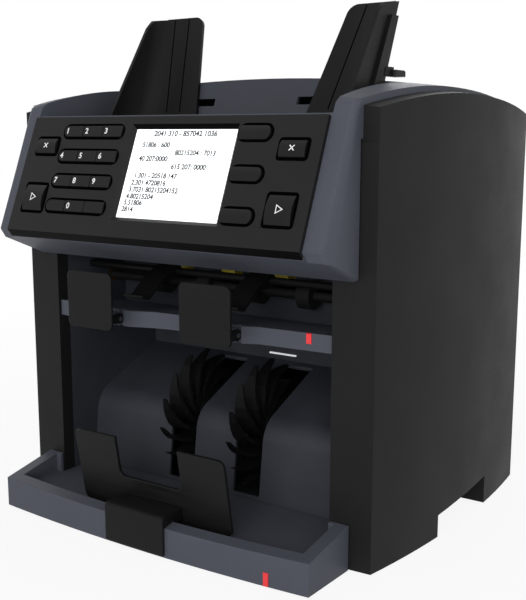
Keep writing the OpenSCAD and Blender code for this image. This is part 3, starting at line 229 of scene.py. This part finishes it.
# Rubber tyres, belt, seals and feet: dull and slightly dusty.
RUBBER = Finish("dusty_black_rubber", "#161616", 0.72, grain_mm=1.8, grain=0.08, bump=0.06, shade=0.2,
                ior=1.3)
# Zinc-plated sheet and ground shafts: gray metal with fine drawn lines along x.
STEEL = Finish("zinc_plated_steel", "#8d9196", 0.36, grain_mm=1.0, grain=0.10, metallic=1.0,
               stretch=(0.06, 1.0, 1.0))
# Sintered bronze bushes: dull warm metal.
BRONZE = Finish("sintered_bronze", "#a07a44", 0.42, grain_mm=0.9, grain=0.10, metallic=1.0)
# Red acrylic lens: clear gloss over a strong red, lit a little from behind.
LENS = Finish("red_acrylic_lens", "#e3232b", 0.20, grain=0.03, shade=0.04, coat=0.2, glow=0.10)
# Screen glass over a white backlight.
GLASS = Finish("backlit_white_glass", "#f4f6f8", 0.12, grain=0.02, bump=0.0, shade=0.01, glow=0.8)
# Green solder mask over glass fibre.
BOARD = Finish("green_solder_mask", "#26543a", 0.36, grain_mm=2.4, shade=0.2)
# White pad-printed ink on the keys, with a faint painted glow that lifts it above the light it gets.
INK = Finish("white_pad_print_painted_glow", "#e2e2e0", 0.5, grain=0.05, shade=0.03, glow=0.12)
# Dark characters of the screen.
PIXEL = Finish("dark_screen_pixels", "#1d2024", 0.4, grain=0.02, bump=0.0, shade=0.03)
# Natural acetal of the small gear.
ACETAL = Finish("natural_acetal", "#d8d4c4", 0.38, shade=0.05)
# Yellow acetal blocks inside the note path.
YELLOW = Finish("yellow_acetal", "#b7a528", 0.40, shade=0.08)
# Pale strip let into the chute's wall. Its glow is painted light that lifts it to white.
PALE = Finish("pale_light_guide", "#e4e7e9", 0.30, shade=0.03, glow=0.55)
# Painted shade in the bottom of a fine moulded line or gap: dead black strips laid on the surface.
SCORE = Finish("shadowed_line", "#030303", 0.90, shade=0.1, ior=1.03)

FINISH_OF: dict[str, Finish] = {
    "charcoal": CHARCOAL, "gray": GRAY, "liner": LINER, "panel": PANEL, "screen": GLASS, "black": BLACK,
    # The wheels' finish carries painted shade from the notes, which are not modelled.
    "soft_black": URETHANE, "key": KEY, "board": BOARD, "steel": STEEL, "rubber": RUBBER,
    "bronze": BRONZE, "red": LENS, "white": ACETAL,
}


def select_only(piece: bpy.types.Object) -> None:
    """Make one object the active one and the only one selected.

    Args:
        piece: The object.
    """
    bpy.ops.object.select_all(action="DESELECT")
    piece.select_set(True)
    bpy.context.view_layer.objects.active = piece


def dress(piece: bpy.types.Object, finish: Finish) -> None:
    """Give a piece one finish all over."""
    piece.data.materials.clear()
    piece.data.materials.append(finish.material())


def settle(piece: bpy.types.Object, name: str, finish: Finish, body: str) -> bpy.types.Object:
    """Put a new piece's place into its mesh, dress it and let it ride.

    Args:
        piece: Object as modelled.
        name: Its name in the part.
        finish: Its surface.
        body: CAD body that it moves with.

    Returns:
        The piece.
    """
    piece.name = name
    piece.data.name = name
    select_only(piece)
    bpy.ops.object.transform_apply(location=True, rotation=True, scale=True)
    dress(piece, finish)
    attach(piece, body)
    LOG.info("piece %s on %s", name, body)
    return piece


def edit_all() -> None:
    """Open the active mesh for editing with all of it selected."""
    bpy.ops.object.mode_set(mode="EDIT")
    bpy.ops.mesh.select_all(action="SELECT")


def plate(width: float, height: float) -> bpy.types.Object:
    """Start a piece from a flat plate, mm, round the origin.

    Args:
        width: Its size along x.
        height: Its size along y.

    Returns:
        The plate, which is the active object.
    """
    bpy.ops.object.select_all(action="DESELECT")
    bpy.ops.mesh.primitive_plane_add(size=1)
    piece = bpy.context.object
    piece.scale = (width * MM, height * MM, 1)
    bpy.ops.object.transform_apply(location=False, rotation=False, scale=True)
    return piece


def thicken(depth: float) -> None:
    """Give the active flat piece a thickness along z.

    Args:
        depth: The thickness, mm.
    """
    edit_all()
    bpy.ops.mesh.extrude_region_move(TRANSFORM_OT_translate={"value": (0, 0, depth * MM)})
    bpy.ops.object.mode_set(mode="OBJECT")


def turn_flat(degrees: float) -> None:
    """Turn what is selected round the z axis."""
    bpy.ops.transform.rotate(value=math.radians(degrees), orient_axis="Z", center_override=(0, 0, 0))


def moulded(name: str, size: Triple, middle: Vector, finish: Finish, ease: float,
            sink: float = 0.0) -> bpy.types.Object:
    """Model a small moulded bar or block with eased edges and, if asked, a sunk front.

    Args:
        name: Name of the piece.
        size: Width, depth and height, mm.
        middle: Its centre in the frame, m.
        finish: Its surface.
        ease: Width of the eased edges, mm.
        sink: Depth of the panel sunk into its front, mm.

    Returns:
        The piece, riding on the machine.
    """
    rim = 1.2 * ease
    bpy.ops.object.select_all(action="DESELECT")
    bpy.ops.mesh.primitive_cube_add(size=1, location=middle)
    piece = bpy.context.object
    piece.scale = Vector(size) * MM
    bpy.ops.object.transform_apply(location=False, rotation=False, scale=True)
    edit_all()
    bpy.ops.mesh.bevel(offset=ease * MM, segments=2, affect="EDGES")
    bpy.ops.mesh.select_all(action="DESELECT")
    if sink > 0:
        bpy.ops.mesh.select_mode(type="FACE")
        bpy.ops.object.mode_set(mode="OBJECT")
        front = min(piece.data.polygons, key=lambda face: (round(face.normal.y, 2), -face.area))
        front.select = True
        bpy.ops.object.mode_set(mode="EDIT")
        bpy.ops.mesh.inset(thickness=rim * MM)
        bpy.ops.transform.translate(value=(0, sink * MM, 0))
    bpy.ops.object.mode_set(mode="OBJECT")
    return settle(piece, name, finish, MACHINE)


@dataclass
class Softened:
    """A CAD solid with its sharp moulded edges eased, shown in place of the solid."""

    node: str
    finish: Finish
    width: float = 0.6
    segments: int = 2
    angle: float = 32.0
    body: str = MACHINE
    merge: float = 0.002
    flat_angle: float = 0.4
    collapsed: float = 0.0005
    smooth_angle: float = 40.0

    def merged(self) -> bpy.types.Object:
        """Copy the solid's mesh and join its loose triangles into whole faces.

        Returns:
            The copy, which is the active object.
        """
        source = bpy.data.objects[self.node]
        piece = bpy.data.objects.new(self.node + "_eased", source.data.copy())
        bpy.context.scene.collection.objects.link(piece)
        select_only(piece)
        edit_all()
        bpy.ops.mesh.remove_doubles(threshold=self.merge * MM)
        bpy.ops.mesh.dissolve_limited(angle_limit=math.radians(self.flat_angle))
        bpy.ops.object.mode_set(mode="OBJECT")
        return piece

    def build(self) -> bpy.types.Object:
        """Ease the copy's edges, weld what that collapsed and let it stand for the node.

        Returns:
            The eased piece.
        """
        piece = self.merged()
        edge = piece.modifiers.new("eased_edges", "BEVEL")
        edge.width = self.width * MM
        edge.segments = self.segments
        edge.limit_method = "ANGLE"
        edge.angle_limit = math.radians(self.angle)
        edge.miter_outer = "MITER_ARC"
        bpy.ops.object.modifier_apply(modifier=edge.name)
        edit_all()
        bpy.ops.mesh.remove_doubles(threshold=self.collapsed * MM)
        bpy.ops.mesh.dissolve_degenerate(threshold=self.collapsed * MM)
        bpy.ops.object.mode_set(mode="OBJECT")
        bpy.ops.object.shade_smooth_by_angle(angle=math.radians(self.smooth_angle))
        even = piece.modifiers.new("even_normals", "WEIGHTED_NORMAL")
        even.keep_sharp = True
        bpy.ops.object.modifier_apply(modifier=even.name)
        dress(piece, self.finish)
        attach(piece, self.body)
        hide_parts(self.node)
        LOG.info("eased %s", self.node)
        return piece


@dataclass
class Housing:
    """Covers, head and rear panels, in mm."""

    cover_edge: float = 1.6
    head_edge: float = 2.2
    roof_edge: float = 0.8
    rear_edge: float = 0.5
    lip_size: Triple = (15.0, 3.4, 1.9)
    lip_at: Triple = (120.5, 1.1, 251.0)
    lip_edge: float = 0.3

    def build(self) -> None:
        """Ease the covers, the head and the rear, and lay a lip between each pillar and the head."""
        x, y, z = self.lip_at
        for side in Side:
            name = side.name.lower()
            Softened(name + "_side_cover", CHARCOAL, self.cover_edge, segments=3).build()
            moulded(name + "_pillar_lip", self.lip_size, point(side.value * x, y, z), CHARCOAL,
                    self.lip_edge)
        Softened("head_shell", GRAY, self.head_edge, segments=3).build()
        # The roof's darker blue-gray is painted shade, not a different moulding.
        Softened("rear_top_cover", ROOF_PAINTED_SHADE, self.roof_edge).build()
        Softened("rear_cover", CHARCOAL, self.rear_edge).build()


@dataclass
class ControlPanel:
    """Tilted panel with its screen, keys and their prints.

    Places named s lie down the slope from the panel's top edge, those named n above its face, in mm.
    """

    tilt: float = 22.4
    top_y: float = -13.1
    top_z: float = 265.2
    panel_edge: float = 0.5
    # The strip's faces look down and forwards by more than these shares.
    strip_down: float = -0.25
    strip_front: float = -0.2
    # Keypad: four rows of three keys, the left end of each row round.
    pad: tuple[str, ...] = ("1", "2", "3", "4", "5", "6", "7", "8", "9", "shift", "0", "menu")
    pad_x: float = -57.2
    pad_s: float = 10.1
    pad_w: float = 16.1
    pad_h: float = 7.2
    pad_pitch: float = 16.65
    pad_gap: float = 0.5
    pad_edge: float = 0.45
    # Figures stand left of the middle of their keys.
    figure_shift: float = 5.2
    figure_size: float = 5.2
    figure_n: float = 1.01
    figure_bold: float = 0.021
    # Three keys right of the screen, their right ends round.
    side_keys: tuple[str, ...] = ("top", "middle", "bottom")
    side_x: float = 67.4
    side_s: float = 10.6
    side_pitch: float = 24.8
    side_size: tuple[float, float] = (21.3, 8.3)
    side_edge: float = 0.6
    # Run and clear keys at both ends of the panel: places, heights, and the reach of their signs.
    big_x: float = 94.8
    big_w: float = 17.0
    big_edge: float = 0.9
    run_s: float = 55.4
    run_h: float = 17.0
    run_reach: float = 3.2
    run_line: float = 0.55
    clear_s: float = 20.2
    clear_h: float = 9.8
    clear_reach: float = 2.2
    clear_line: float = 0.7
    sign_n: float = 2.01
    # Shadowed grooves round the keys: width, slack past the keys, corner, and share of a round end.
    groove: float = 1.4
    groove_slack: float = 0.6
    groove_corner: float = 1.8
    groove_round: float = 0.98
    # Lines of figures on the screen: text, left end across the panel, place down the slope, type size.
    line_n: float = -2.58
    line_bold: float = 0.032
    lines: tuple[tuple[str, float, float, float], ...] = (
        ("2041 310 - 857042 1036", -9.0, 10.4, 4.8),
        ("51806 : 600", -16.3, 17.6, 4.5),
        ("80215204 : 7013", 10.4, 22.5, 4.5),
        ("40 207:0000", -16.6, 26.5, 4.5),
        ("615 207: 0000", 10.0, 31.3, 4.5),
        ("1.301 - 20518 147", -17.1, 37.3, 4.5),
        ("2.301 4720816", -18.0, 41.9, 4.5),
        ("3.7031 80215204152", -18.8, 46.3, 4.5),
        ("4.80215204", -19.4, 50.7, 4.5),
        ("5.51806", -20.0, 54.7, 4.5),
        ("2814", -20.6, 59.0, 4.5))

    def on_face(self, x: float, s: float, n: float = 0.0) -> Matrix:
        """Find a place on the panel.

        Args:
            x: Place across the panel, mm.
            s: Place down the slope, mm.
            n: Height above the panel's face, mm.

        Returns:
            Frame with x across the panel, y up the slope and z out of it, in metres.
        """
        turn = Matrix.Rotation(math.radians(90 - self.tilt), 4, "X")
        placed = Matrix.Translation(point(0, self.top_y, self.top_z)) @ turn
        return placed @ Matrix.Translation(Vector((x, -s, n)) * MM)

    def text(self, words: str, name: str, place: Matrix, size: float, bold: float, align: Align,
             finish: Finish, body: str) -> bpy.types.Object:
        """Set plain figures on the panel as a thin printed mesh.

        Args:
            words: Figures to print.
            name: Name of the piece.
            place: Where the line stands on the panel.
            size: Height of the type, mm.
            bold: Thickening of the strokes, as a share of the size.
            align: Which point of the line the place gives.
            finish: Ink.
            body: CAD body that carries the print.

        Returns:
            The print.
        """
        bpy.ops.object.select_all(action="DESELECT")
        bpy.ops.object.text_add()
        piece = bpy.context.object
        piece.data.body = words
        piece.data.size = size * MM
        piece.data.align_x = align.value
        piece.data.align_y = "CENTER"
        piece.data.extrude = PRINT_T * MM
        piece.data.offset = bold * size * MM
        bpy.ops.object.convert(target="MESH")
        piece.matrix_world = place
        return settle(piece, name, finish, body)

    def mark(self, sign: Mark, name: str, place: Matrix, body: str) -> bpy.types.Object:
        """Print a run triangle or a clear cross on a key.

        Args:
            sign: Which mark.
            name: Name of the piece.
            place: Where its middle stands on the panel.
            body: CAD body that carries it.

        Returns:
            The print.
        """
        bpy.ops.object.select_all(action="DESELECT")
        if sign is Mark.RUN:
            bpy.ops.mesh.primitive_circle_add(vertices=3, radius=self.run_reach * MM, fill_type="NGON")
        else:
            bpy.ops.mesh.primitive_plane_add(size=1)
        piece = bpy.context.object
        edit_all()
        if sign is Mark.RUN:
            turn_flat(90)
            bpy.ops.mesh.inset(thickness=self.run_line * MM)
            bpy.ops.mesh.delete(type="FACE")
        else:
            bpy.ops.transform.resize(value=(2 * self.clear_reach * MM, self.clear_line * MM, 1))
            turn_flat(45)
            bpy.ops.mesh.duplicate()
            turn_flat(90)
        bpy.ops.object.mode_set(mode="OBJECT")
        thicken(PRINT_T)
        piece.matrix_world = place
        return settle(piece, name, INK, body)

    def surround(self, name: str, place: Matrix, size: tuple[float, float],
                 end: Side | None) -> bpy.types.Object:
        """Lay the shadowed groove that runs round a key or a row of keys.

        Args:
            name: Name of the piece.
            place: Where the middle of the keys stands on the panel.
            size: Width and height of the keys together, mm.
            end: Side with a round end, or None for four small corners.

        Returns:
            The groove.
        """
        width, height = (side + 2 * self.groove + self.groove_slack for side in size)
        corner_r = self.groove_round * height / 2 if end else self.groove_corner
        piece = plate(width, height)
        for corner in piece.data.vertices:
            corner.select = end is None or corner.co.x * end.value > 0
        bpy.ops.object.mode_set(mode="EDIT")
        bpy.ops.mesh.bevel(offset=corner_r * MM, segments=8, affect="VERTICES")
        bpy.ops.mesh.select_all(action="SELECT")
        bpy.ops.mesh.inset(thickness=self.groove * MM)
        bpy.ops.mesh.delete(type="FACE")
        bpy.ops.object.mode_set(mode="OBJECT")
        thicken(PRINT_T)
        piece.matrix_world = place
        # The groove is a dead black strip on the face: painted shade of the gap round the keys.
        return settle(piece, name, SCORE, MACHINE)

    def panel(self) -> None:
        """Ease the panel and polish its lower strip."""
        piece = Softened("fascia", PANEL, self.panel_edge).build()
        piece.data.materials.append(STRIP.material())
        for face in piece.data.polygons:
            if face.normal.z < self.strip_down and face.normal.y < self.strip_front:
                face.material_index = 1

    def keypad(self) -> None:
        """Ease the twelve keys, print their figures and lay a groove round each row."""
        row_w = 3 * self.pad_w + 2 * self.pad_gap
        for i, key in enumerate(self.pad):
            row, column = divmod(i, 3)
            body = "key_" + key
            s = self.pad_s + row * self.pad_pitch
            Softened(body, KEY, self.pad_edge, segments=3, body=body).build()
            if key.isdigit():
                x = self.pad_x + (column - 1) * (self.pad_w + self.pad_gap)
                place = self.on_face(x - self.figure_shift, s, self.figure_n)
                self.text(key, "figure_" + key, place, self.figure_size, self.figure_bold, Align.CENTER,
                          INK, body)
            if column == 1:
                self.surround("key_row_groove_%d" % (row + 1), self.on_face(self.pad_x, s),
                              (row_w, self.pad_h), Side.LEFT)

    def large_keys(self) -> None:
        """Ease the side, run and clear keys, lay their grooves and print the signs."""
        for i, end in enumerate(self.side_keys):
            body = "side_key_" + end
            place = self.on_face(self.side_x, self.side_s + i * self.side_pitch)
            Softened(body, KEY, self.side_edge, segments=3, body=body).build()
            self.surround("side_key_groove_" + end, place, self.side_size, Side.RIGHT)
        for side in Side:
            x = side.value * self.big_x
            for sign, s, high in ((Mark.RUN, self.run_s, self.run_h),
                                  (Mark.CLEAR, self.clear_s, self.clear_h)):
                name = "%s_%s" % (side.name.lower(), sign.value)
                body = name + "_key"
                Softened(body, KEY, self.big_edge, segments=3, body=body).build()
                self.mark(sign, name + "_sign", self.on_face(x, s, self.sign_n), body)
                self.surround(body + "_groove", self.on_face(x, s), (self.big_w, high), None)

    def screen(self) -> None:
        """Write plain lines of figures on the screen."""
        for i, (figures, x, s, size) in enumerate(self.lines):
            self.text(figures, "readout_line_%d" % (i + 1), self.on_face(x, s, self.line_n), size,
                      self.line_bold, Align.LEFT, PIXEL, MACHINE)

    def build(self) -> None:
        """Build the panel, its keys and the screen."""
        self.panel()
        self.keypad()
        self.large_keys()
        self.screen()


@dataclass
class Hopper:
    """Sliding guides with two scored lines each, the bed and the seals beside the back, in mm."""

    lean: float = 22.8
    foot_y: float = 73.0
    foot_z: float = 268.0
    guide_edge: float = 0.5
    bed_edge: float = 0.4
    score_w: float = 0.85
    score_t: float = 0.05
    score_sunk: float = 0.01
    # Lower and upper end of each line across the machine, and their heights.
    scores: tuple[tuple[float, float], ...] = ((60.8, 72.8), (72.6, 85.7))
    score_z: tuple[float, float] = (270.0, 336.5)
    seal_size: Triple = (6.9, 2.4, 24.0)
    seal_at: Triple = (106.5, 86.9, 270.0)
    seal_edge: float = 0.4

    def score(self, name: str, x0: float, x1: float, body: str) -> bpy.types.Object:
        """Draw a fine moulded line up a guide's leaning back plate.

        Args:
            name: Name of the piece.
            x0: Its lower end across the machine, mm.
            x1: Its upper end, mm.
            body: Guide that carries it.

        Returns:
            The line.
        """
        low, high = self.score_z
        lean = math.radians(self.lean)
        rise = (high - low) / math.cos(lean)
        piece = plate(self.score_w, math.hypot(rise, x1 - x0))
        thicken(self.score_t)
        middle = (low + high) / 2
        y = self.foot_y + (middle - self.foot_z) * math.tan(lean)
        lay = Matrix.Rotation(math.radians(90 - self.lean), 4, "X")
        slant = Matrix.Rotation(-math.atan2(x1 - x0, rise), 4, "Z")
        place = Matrix.Translation(point((x0 + x1) / 2, y - self.score_sunk, middle))
        piece.matrix_world = place @ lay @ slant
        # The line is a dead black strip laid on the plate: painted shade of the groove.
        return settle(piece, name, SCORE, body)

    def build(self) -> None:
        """Ease the guides and the bed, score the guides and seal the slits beside the back."""
        x, y, z = self.seal_at
        for side in Side:
            moulded(side.name.lower() + "_dust_seal", self.seal_size, point(side.value * x, y, z), RUBBER,
                    self.seal_edge)
            name = side.name.lower() + "_guide"
            Softened(name, BLACK, self.guide_edge, body=name).build()
            for i, (x0, x1) in enumerate(self.scores):
                self.score("%s_score_%d" % (name, i + 1), side.value * x0, side.value * x1, name)
        Softened("hopper_bed", LINER, self.bed_edge).build()


@dataclass
class UpperPocket:
    """Shelf, stops and what shows under the head, in mm."""

    rail_size: Triple = (219.0, 8.0, 5.0)
    rail_y: float = 55.0
    rail_z: float = 168.0
    rail_edge: float = 0.6
    rail_sink: float = 0.8
    # The holders are let into the rail from below and stand out in front of it.
    holder_x: tuple[float, ...] = (-42.0, 0.0, 42.0)
    holder_size: Triple = (11.0, 10.0, 5.6)
    holder_let_in: float = 1.0
    holder_lead: float = 2.0
    holder_edge: float = 0.5
    holder_sink: float = 0.6
    shelf_edge: float = 0.6
    back_edge: float = 0.4
    bail_edge: float = 0.4
    stop_edge: float = 0.5

    def sensors(self) -> None:
        """Hang the yellow holders of the note sensors from a rail between the side frames."""
        moulded("sensor_rail", self.rail_size, point(0, self.rail_y, self.rail_z), LINER, self.rail_edge,
                self.rail_sink)
        y = self.rail_y - self.holder_lead
        z = self.rail_z - self.rail_size[2] / 2 - self.holder_size[2] / 2 + self.holder_let_in
        for i, x in enumerate(self.holder_x):
            moulded("sensor_holder_%d" % (i + 1), self.holder_size, point(x, y, z), YELLOW,
                    self.holder_edge, self.holder_sink)

    def build(self) -> None:
        """Ease the shelf and its stops and hang the sensors."""
        self.sensors()
        Softened("reject_shelf", GRAY, self.shelf_edge).build()
        Softened("reject_back", LINER, self.back_edge).build()
        Softened("hold_down_bail", BLACK, self.bail_edge, body="hold_down_bail").build()
        for side in Side:
            name = side.name.lower() + "_stop"
            Softened(name, RUBBED, self.stop_edge, body=name).build()


@dataclass
class LowerPocket:
    """Tray, stack stop, chute and a pale strip, in mm."""

    # The pale strip is let into the chute's wall.
    wall_y: float = 100.0
    guide_x: float = 10.8
    guide_z: float = 98.0
    guide_size: Triple = (22.5, 1.4, 1.15)
    strip_lead: float = 0.3
    guide_edge: float = 0.25
    strip_sink: float = 0.1
    tray_edge: float = 1.6
    stop_edge: float = 0.6
    bracket_edge: float = 0.8
    chute_edge: float = 0.4

    def build(self) -> None:
        """Ease the tray and its fittings and set the pale strip, which glows with painted light, into the
        chute's wall.
        """
        middle = point(self.guide_x, self.wall_y - self.strip_lead, self.guide_z)
        # The strip's glow is painted light; the strip is no lamp.
        moulded("light_guide", self.guide_size, middle, PALE, self.guide_edge, self.strip_sink)
        Softened("stacker_tray", GRAY, self.tray_edge, segments=4).build()
        Softened("stack_stop", RUBBED, self.stop_edge, segments=3).build()
        Softened("stop_bracket", BLACK, self.bracket_edge, segments=3).build()
        Softened("stacker_chute", LINER, self.chute_edge).build()


@dataclass(frozen=True)
class Lamp:
    """One soft square lamp, its place and size in metres."""

    name: str
    place: Triple
    size: float
    watts: float

    def hang(self, target: Triple) -> None:
        """Hang the lamp so that it looks at a point.

        Args:
            target: The point, m.
        """
        data = bpy.data.lights.new(self.name, "AREA")
        data.size = self.size
        data.energy = self.watts
        lamp = bpy.data.objects.new(self.name, data)
        lamp.location = self.place
        lamp.rotation_euler = (Vector(self.place) - Vector(target)).to_track_quat("Z", "Y").to_euler()
        bpy.context.scene.collection.objects.link(lamp)


@dataclass
class Studio:
    """Camera, light and floor, in metres and degrees."""

    lens: float = 58.07
    sensor: float = 36.0
    shift: tuple[float, float] = (0.0062, 0.0052)
    eye: Triple = (0.3802, -0.5534, 0.2554)
    pitch: float = 80.0
    turn: float = 34.27
    nearest: float = 0.01
    # The floor keeps a tenth of its shadow near the machine and fades to white, m from its middle.
    floor_size: float = 12.0
    floor_white: float = 0.90
    fade_from: float = 0.25
    fade_to: float = 0.9
    soft_light: float = 0.40
    target: Triple = (0.0, 0.0, 0.15)
    lamps: tuple[Lamp, ...] = (
        Lamp("key_lamp", (0.65, -1.6, 0.5), 1.3, 20),
        Lamp("right_lamp", (1.7, 0.6, 0.6), 1.2, 2),
        Lamp("left_lamp", (-1.8, 0.5, 0.4), 1.2, 7),
        Lamp("back_lamp", (-0.4, 1.9, 0.5), 1.3, 14))

    def camera(self) -> None:
        """Stand the camera where the photograph was taken from."""
        data = bpy.data.cameras.new("photo_camera")
        data.sensor_width = self.sensor
        data.lens = self.lens
        data.shift_x, data.shift_y = self.shift
        data.clip_start = self.nearest
        camera = bpy.data.objects.new("photo_camera", data)
        camera.location = self.eye
        camera.rotation_euler = (math.radians(self.pitch), 0, math.radians(self.turn))
        bpy.context.scene.collection.objects.link(camera)
        bpy.context.scene.camera = camera

    def seen(self, tree: bpy.types.NodeTree) -> bpy.types.NodeSocket:
        """Tell rays that show the set, seen straight or mirrored, from those that light it.

        Args:
            tree: Node tree of the floor or the world.

        Returns:
            Output that is 1 for a ray that shows the set.
        """
        rays = add(tree, "ShaderNodeLightPath").outputs
        seen = add(tree, "ShaderNodeMath", {"operation": "MAXIMUM"}, _0=rays["Is Camera Ray"],
                   _1=rays["Is Glossy Ray"]).outputs[0]
        return add(tree, "ShaderNodeMath", {"operation": "MAXIMUM"}, _0=seen,
                   _1=rays["Is Transmission Ray"]).outputs[0]

    def floor(self) -> None:
        """Lay a pale floor that reads as white and keeps a soft shadow."""
        bpy.ops.object.select_all(action="DESELECT")
        bpy.ops.mesh.primitive_plane_add(size=self.floor_size)
        plane = bpy.context.object
        plane.name = "studio_floor"
        made = bpy.data.materials.new("matte_white_paper")
        made.use_nodes = True
        tree = made.node_tree
        tree.nodes.clear()
        seen = self.seen(tree)
        place = add(tree, "ShaderNodeTexCoord").outputs["Object"]
        away = add(tree, "ShaderNodeVectorMath", {"operation": "LENGTH"}, _0=place).outputs["Value"]
        fade = add(tree, "ShaderNodeMapRange", None, Value=away, From_Min=self.fade_from,
                   From_Max=self.fade_to, To_Min=self.floor_white, To_Max=1.0).outputs[0]
        part = add(tree, "ShaderNodeMath", {"operation": "MULTIPLY"}, _0=seen, _1=fade).outputs[0]
        matte = add(tree, "ShaderNodeBsdfDiffuse", None, Color=linear("#f2f2f2")).outputs[0]
        white = add(tree, "ShaderNodeEmission", None, Strength=1.0).outputs[0]
        mixed = add(tree, "ShaderNodeMixShader", None, _0=part, _1=matte, _2=white).outputs[0]
        add(tree, "ShaderNodeOutputMaterial", None, Surface=mixed)
        plane.data.materials.append(made)

    def world(self) -> None:
        """Surround the set with white that lights softly."""
        world = bpy.data.worlds.new("white_room")
        world.use_nodes = True
        tree = world.node_tree
        tree.nodes.clear()
        seen = self.seen(tree)
        soft, white = (
            add(tree, "ShaderNodeBackground", None, Color=linear("#ffffff"), Strength=strength).outputs[0]
            for strength in (self.soft_light, 1.0))
        mixed = add(tree, "ShaderNodeMixShader", None, _0=seen, _1=soft, _2=white).outputs[0]
        add(tree, "ShaderNodeOutputWorld", None, Surface=mixed)
        bpy.context.scene.world = world

    def build(self) -> None:
        """Set up the whole studio."""
        self.camera()
        self.floor()
        self.world()
        for lamp in self.lamps:
            lamp.hang(self.target)
        bpy.context.scene.view_settings.view_transform = "Standard"


def main() -> None:
    """Load the frame, dress every piece and stage it."""
    logging.basicConfig(level=logging.INFO, format="%(name)s: %(message)s")
    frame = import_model()
    slots = {part["node"]: part["material_slot"] for part in frame["record"]["subparts"]}
    for name, node in frame["nodes"].items():
        dress(node, FINISH_OF[slots[name]])
    Studio().build()
    for group in (Housing(), ControlPanel(), Hopper(), UpperPocket(), LowerPocket()):
        group.build()


if __name__ == "__main__":
    main()
